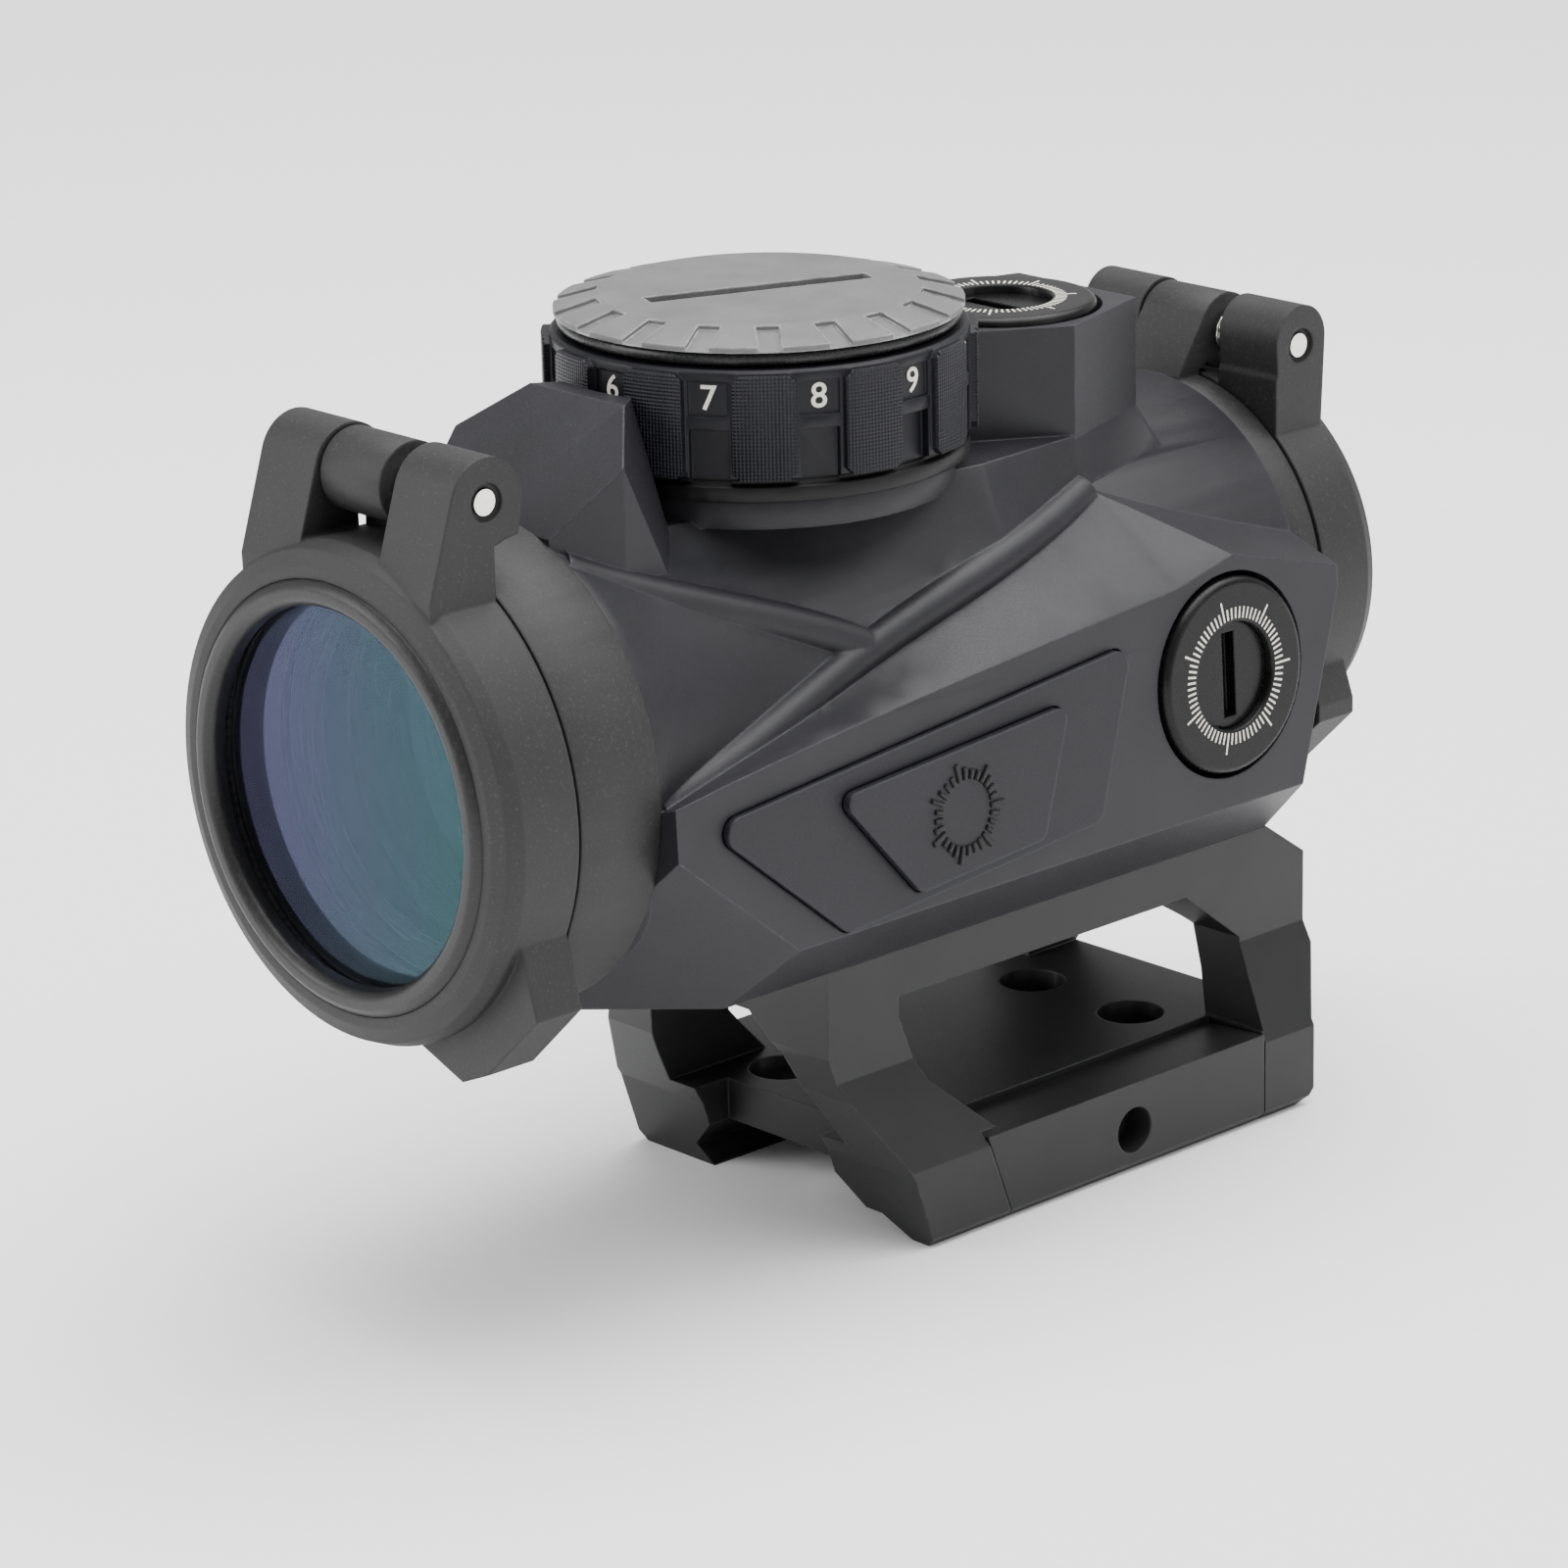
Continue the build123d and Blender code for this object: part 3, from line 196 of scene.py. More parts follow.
# ---------------------------------------------------------------- materials
class Recipe:
    """A node material under construction, fed by object coordinates."""

    def __init__(self, name):
        self.material = bpy.data.materials.new(name)
        self.material.use_nodes = True
        self.tree = self.material.node_tree
        self.tree.nodes.clear()
        self.output = self.add("ShaderNodeOutputMaterial")
        self.where = self.add("ShaderNodeTexCoord").outputs["Object"]

    def add(self, kind, **settings):
        node = self.tree.nodes.new(kind)
        for key, value in settings.items():
            setattr(node, key, value)
        return node

    def link(self, source, target):
        self.tree.links.new(source, target)

    def feed(self, node, **inputs):
        """Give each named input a link or a value."""
        for key, value in inputs.items():
            socket = node.inputs[key.replace("_", " ")]
            if isinstance(value, bpy.types.NodeSocket):
                self.link(value, socket)
            else:
                socket.default_value = value
        return node

    def noise(self, size, detail=2.0, rough=0.5, stretch=None):
        """Noise whose lumps are about size metres across."""
        where = self.where
        if stretch:
            mapping = self.add("ShaderNodeMapping")
            mapping.inputs["Scale"].default_value = stretch
            self.link(where, mapping.inputs["Vector"])
            where = mapping.outputs[0]
        node = self.feed(self.add("ShaderNodeTexNoise"), Scale=1 / size, Detail=detail, Roughness=rough)
        self.link(where, node.inputs["Vector"])
        return node.outputs[0]

    def span(self, value, low, high, to_low, to_high):
        """Value taken from one span to another, held at its ends."""
        node = self.add("ShaderNodeMapRange")
        self.link(value, node.inputs[0])
        for index, number in enumerate((low, high, to_low, to_high)):
            node.inputs[index + 1].default_value = number
        return node.outputs[0]

    def maths(self, operation, first, second=None):
        node = self.add("ShaderNodeMath", operation=operation)
        for index, value in enumerate((first, second)):
            if isinstance(value, bpy.types.NodeSocket):
                self.link(value, node.inputs[index])
            elif value is not None:
                node.inputs[index].default_value = value
        return node.outputs[0]

    def blend_colours(self, factor, first, second):
        node = self.add("ShaderNodeMix", data_type="RGBA")
        self.link(factor, node.inputs[0])
        for index, value in ((6, first), (7, second)):
            if isinstance(value, bpy.types.NodeSocket):
                self.link(value, node.inputs[index])
            else:
                node.inputs[index].default_value = (*value, 1)
        return node.outputs[2]

    def edge_mask(self, radius):
        """Value that is 1 near sharp edges and 0 on flats, and the normal with rounded edges."""
        rounded = self.feed(self.add("ShaderNodeBevel", samples=4), Radius=radius)
        geometry = self.add("ShaderNodeNewGeometry")
        product = self.add("ShaderNodeVectorMath", operation="DOT_PRODUCT")
        self.link(rounded.outputs[0], product.inputs[0])
        self.link(geometry.outputs["Normal"], product.inputs[1])
        return self.span(product.outputs["Value"], 0.99, 0.80, 0.0, 1.0), rounded.outputs[0]

    def bumps(self, layers, normal=None):
        """Stack bump layers given as (height, strength, distance)."""
        for height, strength, distance in layers:
            node = self.feed(self.add("ShaderNodeBump"), Strength=strength, Distance=distance)
            self.link(height, node.inputs["Height"])
            if normal is not None:
                self.link(normal, node.inputs["Normal"])
            normal = node.outputs[0]
        return normal

    def surface(self, shader):
        self.link(shader, self.output.inputs[0])
        return self.material


def shade(colour, factor):
    """Colour made darker or lighter."""
    return tuple(min(1.0, part * factor) for part in colour)


def blasted(name, colour, grain=0.00016, rough=(0.38, 0.55), metal=0.0, edge=0.00025,
            speckle=0.35, bump=0.25, gloss=0.32):
    """Sandblasted and anodised metal: fine speckle, soft sheen, edges lightened as slight wear and painted
    edge highlight.
    """
    r = Recipe(name)
    fine = r.noise(grain, 3.0, 0.6)
    broad = r.noise(0.006, 3.0, 0.55)
    mask, rounded = r.edge_mask(edge)
    # edges lightened in noisy patches: partly wear, partly painted edge highlight
    worn_and_highlit_edge = r.maths("MULTIPLY", mask, r.span(r.noise(0.0012), 0.35, 0.7, 0.25, 1.0))
    base = r.blend_colours(r.span(broad, 0.3, 0.7, 0.0, 1.0), shade(colour, 0.85), shade(colour, 1.15))
    bright = r.span(fine, 0.56, 0.72, 0.0, speckle)
    base = r.blend_colours(bright, base, shade(colour, 3.2))
    base = r.blend_colours(worn_and_highlit_edge, base, shade(colour, WORN_AND_HIGHLIT_EDGE))
    shader = r.feed(r.add("ShaderNodeBsdfPrincipled"), Base_Color=base, Metallic=metal)
    shader.inputs["Specular IOR Level"].default_value = gloss
    r.link(r.span(fine, 0.3, 0.7, *rough), shader.inputs["Roughness"])
    r.link(r.bumps([(fine, bump, grain * 0.25), (broad, 0.05, 0.0001)], rounded), shader.inputs["Normal"])
    return r.surface(shader.outputs[0])


def knurled(name, colour, pitch, pad_radius):
    """Anodise whose outermost band around the dial axis is finely knurled, with painted highlight on the
    knurl crests and edges and painted shade on the neck.
    """
    r = Recipe(name)
    offset = r.add("ShaderNodeVectorMath", operation="SUBTRACT")
    r.link(r.where, offset.inputs[0])
    offset.inputs[1].default_value = DIAL_AXIS
    parts = r.add("ShaderNodeSeparateXYZ")
    r.link(offset.outputs[0], parts.inputs[0])
    x, y, z = parts.outputs
    radius = r.maths("SQRT", r.maths("ADD", r.maths("MULTIPLY", x, x), r.maths("MULTIPLY", y, y)))
    around = r.maths("MULTIPLY", r.maths("ARCTAN2", y, x), pad_radius)
    turn = 2 * math.pi / pitch
    left = r.maths("SINE", r.maths("MULTIPLY", r.maths("ADD", around, z), turn * 0.7))
    right = r.maths("SINE", r.maths("MULTIPLY", r.maths("SUBTRACT", around, z), turn * 0.7))
    weave = r.maths("MULTIPLY", left, right)
    on_pad = r.span(radius, pad_radius - 0.00018, pad_radius - 0.00008, 0.0, 1.0)
    fine = r.noise(0.00013, 2.0, 0.6)
    mask, rounded = r.edge_mask(0.0002)
    height = r.maths("MULTIPLY", weave, on_pad)
    # painted highlight: knurl crests lightened as if catching the light
    painted_highlight = r.span(r.maths("MULTIPLY", height, r.span(fine, 0.3, 0.7, 0.2, 1.6)), 0.1, 0.9, 0.0, 0.8)
    base = r.blend_colours(painted_highlight, colour, shade(colour, 3.6))
    # painted edge highlight: sharp edges of the dial lightened
    base = r.blend_colours(r.maths("MULTIPLY", mask, 0.6), base, shade(colour, 3.5))
    # painted shade: the plain neck under the pads darkened as if in shadow
    shaded_neck_top = DIAL_HIGH.z - SHADED_NECK_DROP
    above_shaded_neck = r.span(z, shaded_neck_top - 0.2 * MM, shaded_neck_top + 0.2 * MM, 0.0, 1.0)
    base = r.blend_colours(above_shaded_neck, shade(colour, 0.25), base)
    shader = r.feed(r.add("ShaderNodeBsdfPrincipled"), Base_Color=base)
    shader.inputs["Specular IOR Level"].default_value = 0.25
    r.link(r.span(fine, 0.3, 0.7, 0.34, 0.5), shader.inputs["Roughness"])
    r.link(r.bumps([(height, 0.7, 0.00008), (fine, 0.25, 0.00004)], rounded), shader.inputs["Normal"])
    return r.surface(shader.outputs[0])


def moulded(name, colour, grain=0.00030, rough=(0.52, 0.66), painted_highlight=1.8, speckle=0.4):
    """Spark-textured moulded plastic or rubber, with painted highlight on its edges."""
    r = Recipe(name)
    fine = r.noise(grain, 3.0, 0.65)
    broad = r.noise(0.009, 2.0)
    mask, rounded = r.edge_mask(0.4 * MM)
    base = r.blend_colours(r.span(broad, 0.3, 0.7, 0.0, 1.0), shade(colour, 0.9), shade(colour, 1.12))
    base = r.blend_colours(r.span(fine, 0.54, 0.72, 0.0, speckle), base, shade(colour, 4.0))
    # painted edge highlight: rounded edges lightened as if catching the light
    base = r.blend_colours(r.maths("MULTIPLY", mask, 0.7), base, shade(colour, painted_highlight))
    shader = r.feed(r.add("ShaderNodeBsdfPrincipled"), Base_Color=base)
    shader.inputs["Specular IOR Level"].default_value = 0.35
    r.link(r.span(fine, 0.3, 0.7, *rough), shader.inputs["Roughness"])
    r.link(r.bumps([(fine, 0.35, grain * 0.2)], rounded), shader.inputs["Normal"])
    return r.surface(shader.outputs[0])


def polished(name, colour, rough=(0.12, 0.3)):
    """Turned and polished metal with faint circular scratches."""
    r = Recipe(name)
    scratch = r.noise(0.0004, 4.0, 0.7, (0.15, 1.0, 1.0))
    tone = r.noise(0.003)
    base = r.blend_colours(r.span(tone, 0.3, 0.7, 0.0, 1.0), shade(colour, 0.86), colour)
    shader = r.feed(r.add("ShaderNodeBsdfPrincipled"), Base_Color=base, Metallic=1.0)
    r.link(r.span(scratch, 0.3, 0.7, *rough), shader.inputs["Roughness"])
    r.link(r.bumps([(scratch, 0.12, 0.00002)]), shader.inputs["Normal"])
    return r.surface(shader.outputs[0])


def coated_glass(name, body, left_tint, right_tint, strength):
    """Clear glass whose coating reflects one colour on its -X side and another on its +X side."""
    r = Recipe(name)
    dust = r.noise(0.0005, 4.0, 0.7)
    smear = r.noise(0.008, 3.0)
    clear = r.add("ShaderNodeBsdfTransparent")
    clear.inputs[0].default_value = (*body, 1)
    place = r.add("ShaderNodeSeparateXYZ")
    r.link(r.where, place.inputs[0])
    tint = r.blend_colours(r.span(place.outputs[0], -0.012, 0.012, 0.0, 1.0), left_tint, right_tint)
    gloss = r.add("ShaderNodeBsdfGlossy")
    r.link(tint, gloss.inputs["Color"])
    r.link(r.span(smear, 0.3, 0.7, 0.03, 0.08), gloss.inputs["Roughness"])
    film = r.add("ShaderNodeBsdfDiffuse")
    r.link(tint, film.inputs["Color"])
    skin = r.add("ShaderNodeMixShader")
    r.link(r.span(dust, 0.66, 0.9, 0.0, 0.05), skin.inputs[0])
    r.link(gloss.outputs[0], skin.inputs[1])
    r.link(film.outputs[0], skin.inputs[2])
    slant = r.add("ShaderNodeLayerWeight")
    slant.inputs[0].default_value = 0.3
    share = r.span(slant.outputs["Fresnel"], 0.0, 0.6, strength, min(1.0, strength + 0.3))
    mix = r.add("ShaderNodeMixShader")
    r.link(share, mix.inputs[0])
    r.link(clear.outputs[0], mix.inputs[1])
    r.link(skin.outputs[0], mix.inputs[2])
    return r.surface(mix.outputs[0])


def printed(name, colour):
    """Filled legend paint, slightly chalky."""
    r = Recipe(name)
    chalk = r.noise(0.0002, 3.0)
    base = r.blend_colours(r.span(chalk, 0.35, 0.7, 0.0, 1.0), shade(colour, 0.82), colour)
    shader = r.feed(r.add("ShaderNodeBsdfPrincipled"), Base_Color=base)
    r.link(r.span(chalk, 0.3, 0.7, 0.5, 0.7), shader.inputs["Roughness"])
    r.link(r.bumps([(chalk, 0.2, 0.00002)]), shader.inputs["Normal"])
    return r.surface(shader.outputs[0])


def paper(name, tone):
    """Seamless studio paper."""
    r = Recipe(name)
    fibre = r.noise(0.002, 4.0)
    base = r.blend_colours(r.span(fibre, 0.3, 0.7, 0.0, 1.0), (tone * 0.985,) * 3, (tone,) * 3)
    shader = r.feed(r.add("ShaderNodeBsdfPrincipled"), Base_Color=base, Roughness=0.85)
    shader.inputs["Specular IOR Level"].default_value = 0.1
    return r.surface(shader.outputs[0])


# ---------------------------------------------------------------- shape helpers
def dress(names, material, edge=0.0, segments=2):
    """Give CAD nodes a material and softly broken edges."""
    for name in names:
        if name not in NODES:
            raise RuntimeError(f"the packed part has no node {name}")
        piece = NODES[name]
        piece.data.materials.clear()
        piece.data.materials.append(material)
        if edge > 0:
            weld = piece.modifiers.new("join seams", "WELD")
            weld.merge_threshold = SEAM_WELD
            bevel = piece.modifiers.new("broken edges", "BEVEL")
            bevel.width = edge
            bevel.segments = segments
            bevel.limit_method = "ANGLE"
            bevel.angle_limit = BEVEL_ANGLE
            bevel.harden_normals = True


def new_piece(name, mesh_maker, material, body):
    """Make a mesh object with bmesh and put it on a CAD body."""
    work = bmesh.new()
    mesh_maker(work)
    mesh = bpy.data.meshes.new(name)
    work.to_mesh(mesh)
    work.free()
    mesh.materials.append(material)
    piece = bpy.data.objects.new(name, mesh)
    bpy.context.scene.collection.objects.link(piece)
    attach(piece, body)
    return piece


def placed(point, normal, up):
    """Matrix at the point whose local z is the normal and whose local y points towards up."""
    z = Vector(normal).normalized()
    x = Vector(up).cross(z).normalized()
    y = z.cross(x)
    return Matrix.Translation(point) @ Matrix((x, y, z)).transposed().to_4x4()


def add_bar(work, place, size):
    """A small bar with its foot on the local plane and chamfered top."""
    length, width, height = size
    corners = []
    for level, inset in ((0.0, 0.0), (height * 0.6, 0.0), (height, min(width, length) * 0.18)):
        for x, y in ((-1, -1), (1, -1), (1, 1), (-1, 1)):
            point = Vector((x * (length / 2 - inset), y * (width / 2 - inset), level))
            corners.append(work.verts.new(place @ point))
    for level in range(2):
        for side in range(4):
            a, b = level * 4 + side, level * 4 + (side + 1) % 4
            work.faces.new((corners[a], corners[b], corners[b + 4], corners[a + 4]))
    work.faces.new(corners[8:12])
    work.faces.new(corners[3::-1])


def add_text(work, text, height, depth, place):
    """Raised legend in the built-in typeface, centred on the local origin."""
    curve = bpy.data.curves.new("legend", "FONT")
    curve.body = text
    curve.size = height / CAP_HEIGHT_SHARE
    curve.extrude = depth / 2
    curve.offset = height * 0.012
    curve.align_x = "CENTER"
    curve.align_y = "CENTER"
    curve.resolution_u = 4
    holder = bpy.data.objects.new("legend", curve)
    bpy.context.scene.collection.objects.link(holder)
    bpy.context.view_layer.update()
    mesh = bpy.data.meshes.new_from_object(holder)
    mesh.transform(place @ Matrix.Translation((0, 0, depth / 2)))
    work.from_mesh(mesh)
    bpy.data.objects.remove(holder)
    bpy.data.meshes.remove(mesh)
    bpy.data.curves.remove(curve)


def add_tick(work, place, index, count, inner, outer, width, height):
    """One of count radial bars round the local z axis."""
    turn = Matrix.Rotation(index * 2 * math.pi / count, 4, "Z")
    middle = Matrix.Translation(((inner + outer) / 2, 0, 0))
    add_bar(work, place @ turn @ middle, (outer - inner, width, height))


def ring_of_ticks(work, place, count):
    """Scale of an adjuster, with every tenth tick longer."""
    for index in range(count):
        outer = TICK_LONG if index % LONG_TICK_EVERY == 0 else TICK_SHORT
        add_tick(work, place, index, count, TICK_INNER, outer, TICK_WIDTH, TICK_HEIGHT)


# ---------------------------------------------------------------- operators
class SIGHT_OT_housing(bpy.types.Operator):
    """Anodise the housing and break its edges"""

    bl_idname = "sight.housing"
    bl_label = "Housing"

    def execute(self, context):
        finish, detail = context.scene.sight_finish, context.scene.sight_detail
        anodise = blasted("Blasted black anodise", tuple(finish.anodise))
        dress(["main_housing"], anodise, detail.edge)
        return {"FINISHED"}


class SIGHT_OT_covers(bpy.types.Operator):
    """Finish both flip covers, their windows, pins and springs"""

    bl_idname = "sight.covers"
    bl_label = "Flip covers"

    def execute(self, context):
        finish, detail = context.scene.sight_finish, context.scene.sight_detail
        nylon = moulded("Black moulded nylon", tuple(finish.nylon))
        bezel = moulded("Bezel nylon", shade(finish.nylon, 0.6), rough=(0.3, 0.45))
        steel = polished("Bright pin steel", (0.86, 0.84, 0.80))
        window = coated_glass(
            "Clear cover window", (0.95, 0.96, 0.97), (0.16, 0.16, 0.28), (0.10, 0.20, 0.22), 0.06)
        for end in ("front", "rear"):
            dress([f"{end}_cover_ring"], nylon, detail.moulded_edge)
            dress([f"{end}_cover_frame"], nylon)
            dress([f"{end}_cover_bezel"], bezel, detail.moulded_edge * 0.5)
            dress([f"{end}_hinge_pin"], steel, detail.moulded_edge)
            dress([f"{end}_hinge_spring"], steel)
            dress([f"{end}_cover_window"], window)
        return {"FINISHED"}


class SIGHT_OT_dial(bpy.types.Operator):
    """Knurl the brightness dial, finish the cap and paint the numbers"""

    bl_idname = "sight.dial"
    bl_label = "Brightness dial and cap"

    def execute(self, context):
        finish, detail = context.scene.sight_finish, context.scene.sight_detail
        pad_radius = (DIAL_HIGH.x - DIAL_LOW.x) / 2
        knurl = knurled(
            "Knurled dial anodise", tuple(finish.dial_anodise), detail.knurl_pitch, pad_radius)
        cap = blasted("Cap anodise", tuple(finish.cap_anodise), rough=(0.42, 0.6), speckle=0.25)
        seal = moulded("Nitrile seal", (0.012, 0.012, 0.013), rough=(0.22, 0.36))
        dress(["brightness_dial"], knurl, detail.edge)
        dress(["battery_cap"], cap, detail.edge)
        dress(["cap_seal", "dial_seal"], seal)
        paint = printed("Legend paint", tuple(finish.legend))
        self.numbers(detail, paint)
        return {"FINISHED"}

    @staticmethod
    def numbers(detail, paint):
        """Put the numbers 0 to 11 in the windows of the dial."""
        middle = DIAL_AXIS + Vector((0, 0, DIAL_HIGH.z - NUMBER_DROP))

        def make(work):
            for number in range(12):
                angle = NUMBER_EIGHT_ANGLE + (number - 8) * DIAL_STEP
                out = Vector((math.cos(angle), math.sin(angle), 0))
                place = placed(middle + out * NUMBER_RADIUS, out, (0, 0, 1))
                add_text(work, str(number), detail.number_height, NUMBER_DEPTH, place)

        new_piece("dial_numbers", make, paint, "brightness_dial")


class SIGHT_OT_adjusters(bpy.types.Operator):
    """Finish the windage and elevation adjusters and paint their scales"""

    bl_idname = "sight.adjusters"
    bl_label = "Adjusters"

    def execute(self, context):
        finish, detail = context.scene.sight_finish, context.scene.sight_detail
        satin = blasted(
            "Satin black turret", (0.0035, 0.0035, 0.004),
            rough=(0.22, 0.34), speckle=0.1, bump=0.1, gloss=0.2)
        paint = printed("Scale paint", tuple(finish.legend))
        seal = moulded("Adjuster seal", (0.012, 0.012, 0.013), rough=(0.3, 0.5))
        steel = polished("Plunger steel", (0.6, 0.6, 0.62))
        for name, up in (("windage", (0, 0, 1)), ("elevation", (0, 1, 0))):
            dress([f"{name}_scale_ring", f"{name}_screw"], satin, detail.edge)
            dress([f"{name}_seal"], seal)
            dress([f"{name}_plunger"], steel)
            point, axis = joint_line(f"{name}_screw_turn")
            face = placed(point + axis * (RING_PROUD - TICK_SINK), axis, up)

            def make(work, face=face):
                ring_of_ticks(work, face, detail.tick_count)

            new_piece(f"{name}_scale", make, paint, "sight_body")
        return {"FINISHED"}


class SIGHT_OT_button(bpy.types.Operator):
    """Finish the rubber pad, the key and its raised light symbol"""

    bl_idname = "sight.button"
    bl_label = "Button pad"

    def execute(self, context):
        finish, detail = context.scene.sight_finish, context.scene.sight_detail
        # strong painted edge highlight on the pad and key
        rubber = moulded(
            "Fine grained rubber", tuple(finish.rubber),
            grain=0.00022, rough=(0.45, 0.62), painted_highlight=5.0, speckle=0.7)
        symbol = moulded("Symbol rubber", shade(finish.rubber, 0.1), rough=(0.35, 0.5), speckle=0.1)
        dress(["button_pad", "power_button"], rubber, detail.moulded_edge, segments=3)
        _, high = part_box("power_button")
        on_panel, _ = joint_line("windage_screw_turn")
        _, inward = joint_line("power_button_press")
        out = -inward
        centre = Vector((high.x, SYMBOL_Y, SYMBOL_Z))
        centre -= out * ((centre - on_panel).dot(out) - KEY_PROUD)
        place = placed(centre, out, (0, 0, 1))
        count = detail.sun_ticks

        def make(work):
            for index in range(count):
                outer = SYMBOL_OUTERS[index % len(SYMBOL_OUTERS)]
                add_tick(
                    work, place, index, count, SYMBOL_INNER, outer, SYMBOL_TICK_WIDTH, SYMBOL_TICK_HEIGHT)

        new_piece("light_symbol", make, symbol, "power_button")
        return {"FINISHED"}


class SIGHT_OT_optics(bpy.types.Operator):
    """Coat the lenses and blacken the optic cell"""

    bl_idname = "sight.optics"
    bl_label = "Lenses and optic cell"

    def execute(self, context):
        finish = context.scene.sight_finish
        baffle = blasted(
            "Baffle black", (0.020, 0.021, 0.024), rough=(0.28, 0.42), speckle=0.1, edge=0.00012)
        objective = coated_glass(
            "Objective coating", (0.66, 0.84, 0.88), (0.050, 0.045, 0.105), tuple(finish.coating), 0.22)
        eyepiece = coated_glass(
            "Eyepiece coating", (0.90, 0.95, 0.95), (0.16, 0.22, 0.20), (0.12, 0.22, 0.20), 0.06)
        steel = polished("Spring steel", (0.5, 0.5, 0.52))
        plastic = moulded("Emitter holder plastic", (0.02, 0.02, 0.02))
        red = moulded("Emitter red", (0.35, 0.02, 0.015), rough=(0.15, 0.3))
        dress(["optic_cell", "pivot_ring", "objective_ring", "eyepiece_ring"], baffle)
        dress(["objective_lens"], objective)
        dress(["eyepiece_lens"], eyepiece)
        dress(["bias_spring"], steel)
        dress(["led_holder"], plastic, 0.0002)
        dress(["led_emitter"], red)
        return {"FINISHED"}


class SIGHT_OT_mount(bpy.types.Operator):
    """Finish the riser, the clamp bar and the screws"""

    bl_idname = "sight.mount"
    bl_label = "Riser mount"

    def execute(self, context):
        finish, detail = context.scene.sight_finish, context.scene.sight_detail
        anodise = blasted(
            "Riser anodise", tuple(finish.mount_anodise), grain=0.00013, rough=(0.36, 0.5), speckle=0.2)
        oxide = blasted(
            "Black oxide steel", (0.03, 0.028, 0.027), rough=(0.25, 0.4), metal=0.6, speckle=0.1)
        dress(["riser_mount", "rail_clamp_bar"], anodise, detail.edge)
        dress(["clamp_screw", "mount_screws"], oxide, detail.edge * 0.7)
        return {"FINISHED"}


class SIGHT_OT_electrics(bpy.types.Operator):
    """Finish the parts inside the battery post and behind the key"""

    bl_idname = "sight.electrics"
    bl_label = "Battery and boards"

    def execute(self, context):
        board = moulded("Solder resist", (0.01, 0.09, 0.035), grain=0.0008, rough=(0.2, 0.35))
        nickel = polished("Nickel plate", (0.72, 0.70, 0.66))
        cell = polished("Coin cell steel", (0.62, 0.62, 0.63), rough=(0.2, 0.35))
        insulator = moulded("Black insulator", (0.018, 0.018, 0.018))
        spring = polished("Circlip steel", (0.35, 0.35, 0.37))
        dress(["circuit_board", "switch_board"], board)
        dress(["battery_spring", "cap_contact"], nickel)
        dress(["battery"], cell, 0.0003)
        dress(["battery_holder", "tact_switch"], insulator, 0.0001)
        dress(["dial_circlip"], spring)
        return {"FINISHED"}


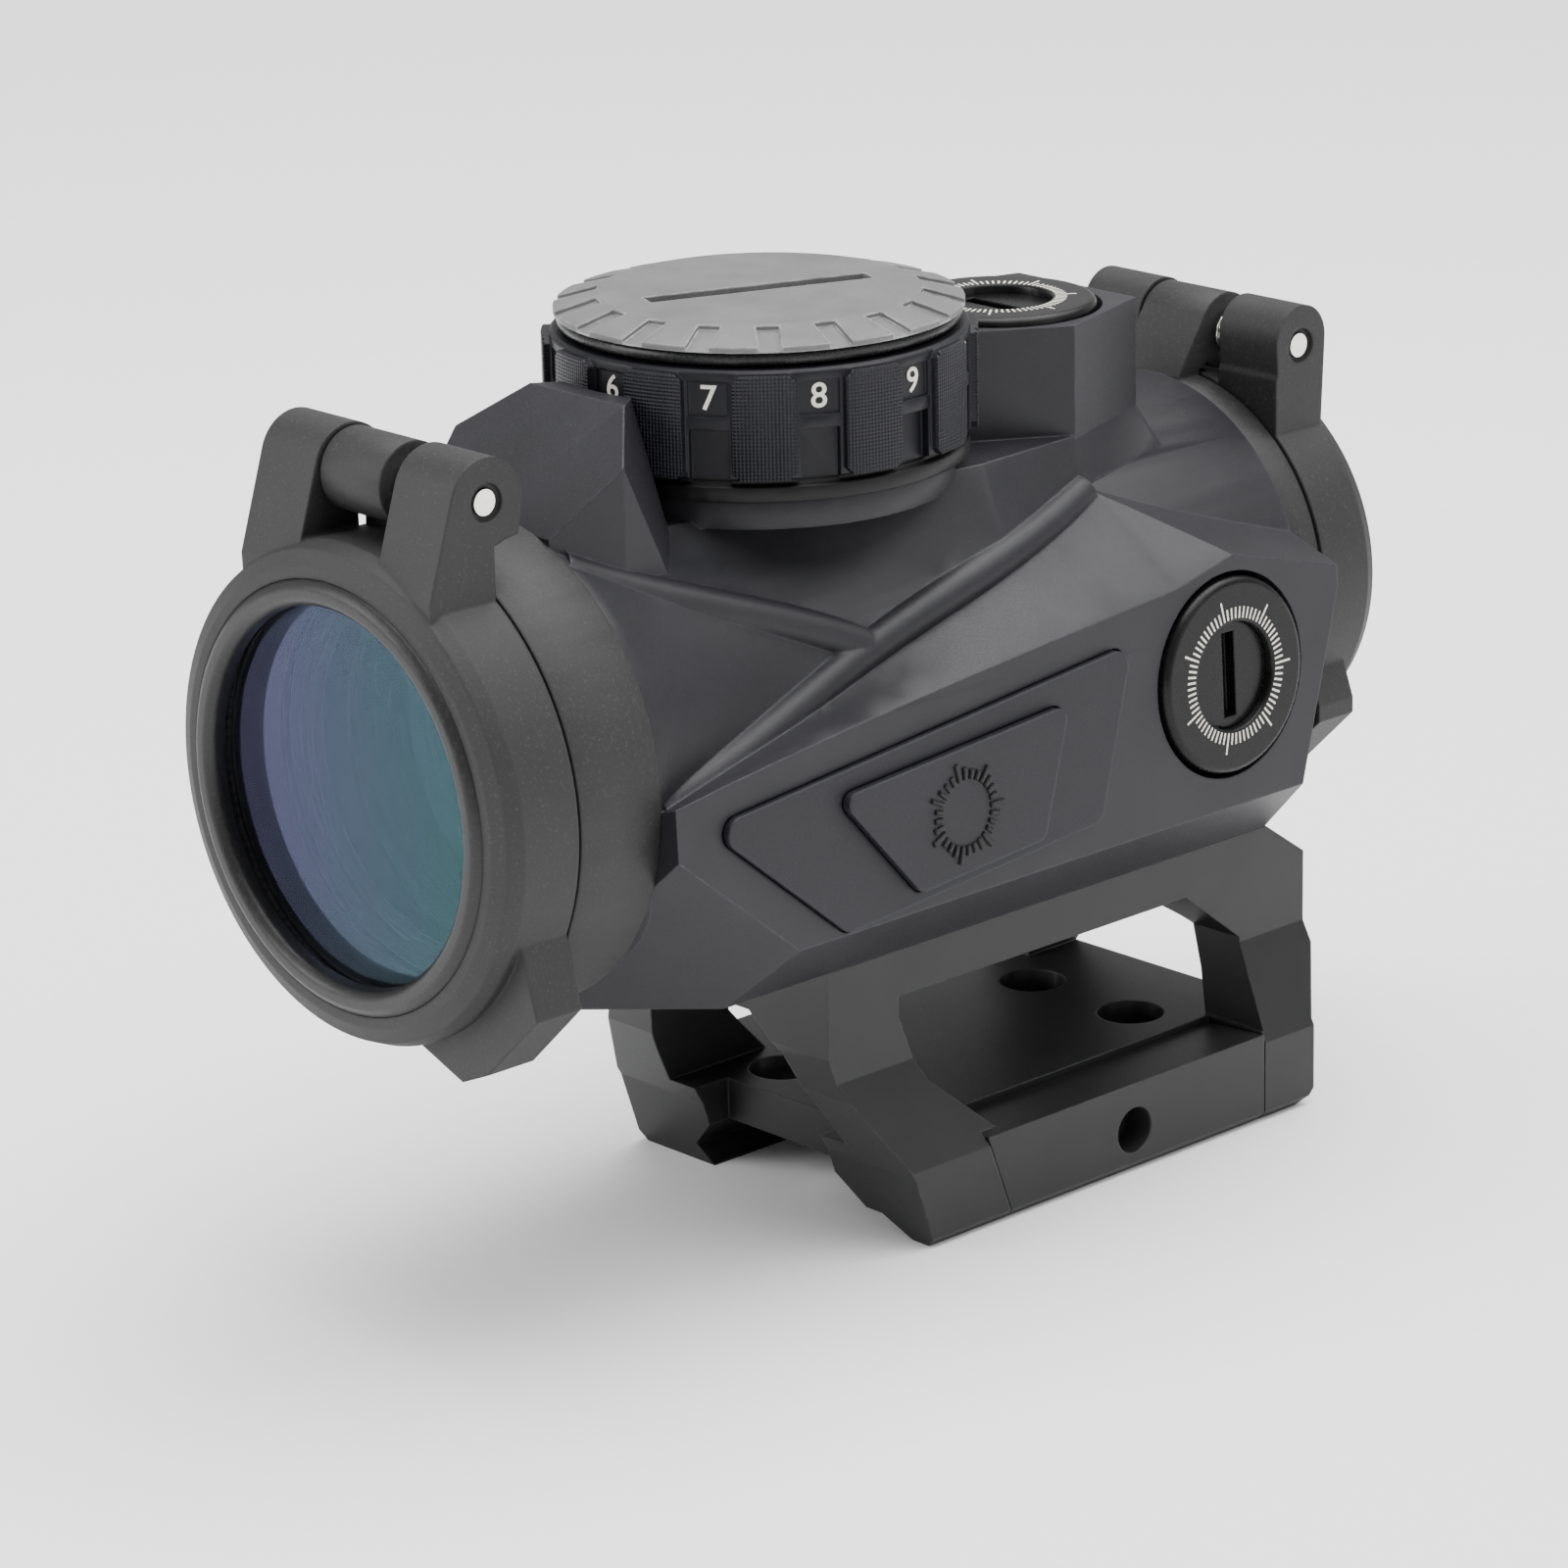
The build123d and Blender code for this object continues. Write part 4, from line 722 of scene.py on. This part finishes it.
class SIGHT_OT_stage(bpy.types.Operator):
    """Floor, soft lights and camera"""

    bl_idname = "sight.stage"
    bl_label = "Studio"

    def execute(self, context):
        stage = context.scene.sight_stage
        low, high = CAD_BOX
        self.floor(stage, low.z)
        self.surround(context, stage)
        middle = (low + high) / 2
        self.soft_box("Overhead soft box", middle + OVERHEAD_PLACE, middle, OVERHEAD_SIZE, stage.overhead)
        self.soft_box("Left soft box", middle + LEFT_PLACE, middle, SIDE_BOX_SIZE, stage.left_key)
        self.soft_box("Right soft box", middle + RIGHT_PLACE, middle, SIDE_BOX_SIZE, stage.right_fill)
        self.ceiling(stage)
        self.camera(context)
        return {"FINISHED"}

    @staticmethod
    def ceiling(stage):
        """Very soft light straight down, as from a white ceiling."""
        lamp = bpy.data.lights.new("Ceiling light", "SUN")
        lamp.energy = stage.ceiling
        lamp.angle = CEILING_SPREAD
        holder = bpy.data.objects.new("Ceiling light", lamp)
        holder.rotation_euler = CEILING_TILT
        bpy.context.scene.collection.objects.link(holder)

    @staticmethod
    def floor(stage, level):
        """Round sheet of paper that fades into the surround."""
        work = bmesh.new()
        bmesh.ops.create_circle(work, cap_ends=True, segments=96, radius=PAPER_RADIUS)
        mesh = bpy.data.meshes.new("studio_floor")
        work.to_mesh(mesh)
        work.free()
        mesh.materials.append(paper("Studio paper", stage.floor_tone))
        sheet = bpy.data.objects.new("studio_floor", mesh)
        sheet.location.z = level
        bpy.context.scene.collection.objects.link(sheet)

    @staticmethod
    def surround(context, stage):
        """Even white light from all round."""
        world = bpy.data.worlds.new("Plain surround")
        context.scene.world = world
        world.use_nodes = True
        background = world.node_tree.nodes["Background"]
        background.inputs["Color"].default_value = (1, 1, 1, 1)
        background.inputs["Strength"].default_value = stage.surround

    @staticmethod
    def soft_box(name, place, target, size, power):
        """Square light aimed at the target."""
        lamp = bpy.data.lights.new(name, "AREA")
        lamp.shape = "SQUARE"
        lamp.size = size
        lamp.energy = power
        holder = bpy.data.objects.new(name, lamp)
        holder.location = place
        holder.rotation_euler = (target - place).to_track_quat("-Z", "Y").to_euler()
        bpy.context.scene.collection.objects.link(holder)

    @staticmethod
    def camera(context):
        """Camera looking along -back, turned by the roll about that line."""
        level = math.cos(CAMERA_ELEVATION)
        right = Vector((math.cos(CAMERA_AZIMUTH), math.sin(CAMERA_AZIMUTH), 0))
        back = Vector((
            math.sin(CAMERA_AZIMUTH) * level,
            -math.cos(CAMERA_AZIMUTH) * level,
            math.sin(CAMERA_ELEVATION)))
        up = back.cross(right)
        turned_right = right * math.cos(CAMERA_ROLL) + up * math.sin(CAMERA_ROLL)
        turned_up = up * math.cos(CAMERA_ROLL) - right * math.sin(CAMERA_ROLL)
        data = bpy.data.cameras.new("Sight camera")
        data.lens = CAMERA_LENS
        data.sensor_width = CAMERA_SENSOR
        data.clip_start = 0.01
        data.clip_end = 20.0
        holder = bpy.data.objects.new("Sight camera", data)
        matrix = Matrix((turned_right, turned_up, back)).transposed().to_4x4()
        matrix.translation = CAMERA_PLACE
        holder.matrix_world = matrix
        context.scene.collection.objects.link(holder)
        context.scene.camera = holder


class SIGHT_PT_panel(bpy.types.Panel):
    """All the finishing steps of the sight"""

    bl_idname = "SIGHT_PT_panel"
    bl_label = "Red dot sight"
    bl_space_type = "VIEW_3D"
    bl_region_type = "UI"
    bl_category = "Red dot sight"

    def draw(self, context):
        for group in (context.scene.sight_finish, context.scene.sight_detail, context.scene.sight_stage):
            box = self.layout.box()
            for key in group.__annotations__:
                box.prop(group, key)
        for operator in OPERATORS:
            self.layout.operator(operator.bl_idname)


OPERATORS = (
    SIGHT_OT_stage,
    SIGHT_OT_housing,
    SIGHT_OT_covers,
    SIGHT_OT_dial,
    SIGHT_OT_adjusters,
    SIGHT_OT_button,
    SIGHT_OT_optics,
    SIGHT_OT_mount,
    SIGHT_OT_electrics,
)
GROUPS = {"sight_finish": SightFinish, "sight_detail": SightDetail, "sight_stage": SightStage}


def register():
    for group in GROUPS.values():
        bpy.utils.register_class(group)
    for name, group in GROUPS.items():
        setattr(bpy.types.Scene, name, bpy.props.PointerProperty(type=group))
    for operator in OPERATORS:
        bpy.utils.register_class(operator)
    bpy.utils.register_class(SIGHT_PT_panel)


def unregister():
    bpy.utils.unregister_class(SIGHT_PT_panel)
    for operator in reversed(OPERATORS):
        bpy.utils.unregister_class(operator)
    for name in GROUPS:
        delattr(bpy.types.Scene, name)
    for group in GROUPS.values():
        bpy.utils.unregister_class(group)


def main():
    register()
    for operator in OPERATORS:
        group, step = operator.bl_idname.split(".")
        getattr(getattr(bpy.ops, group), step)()


if __name__ == "__main__":
    main()
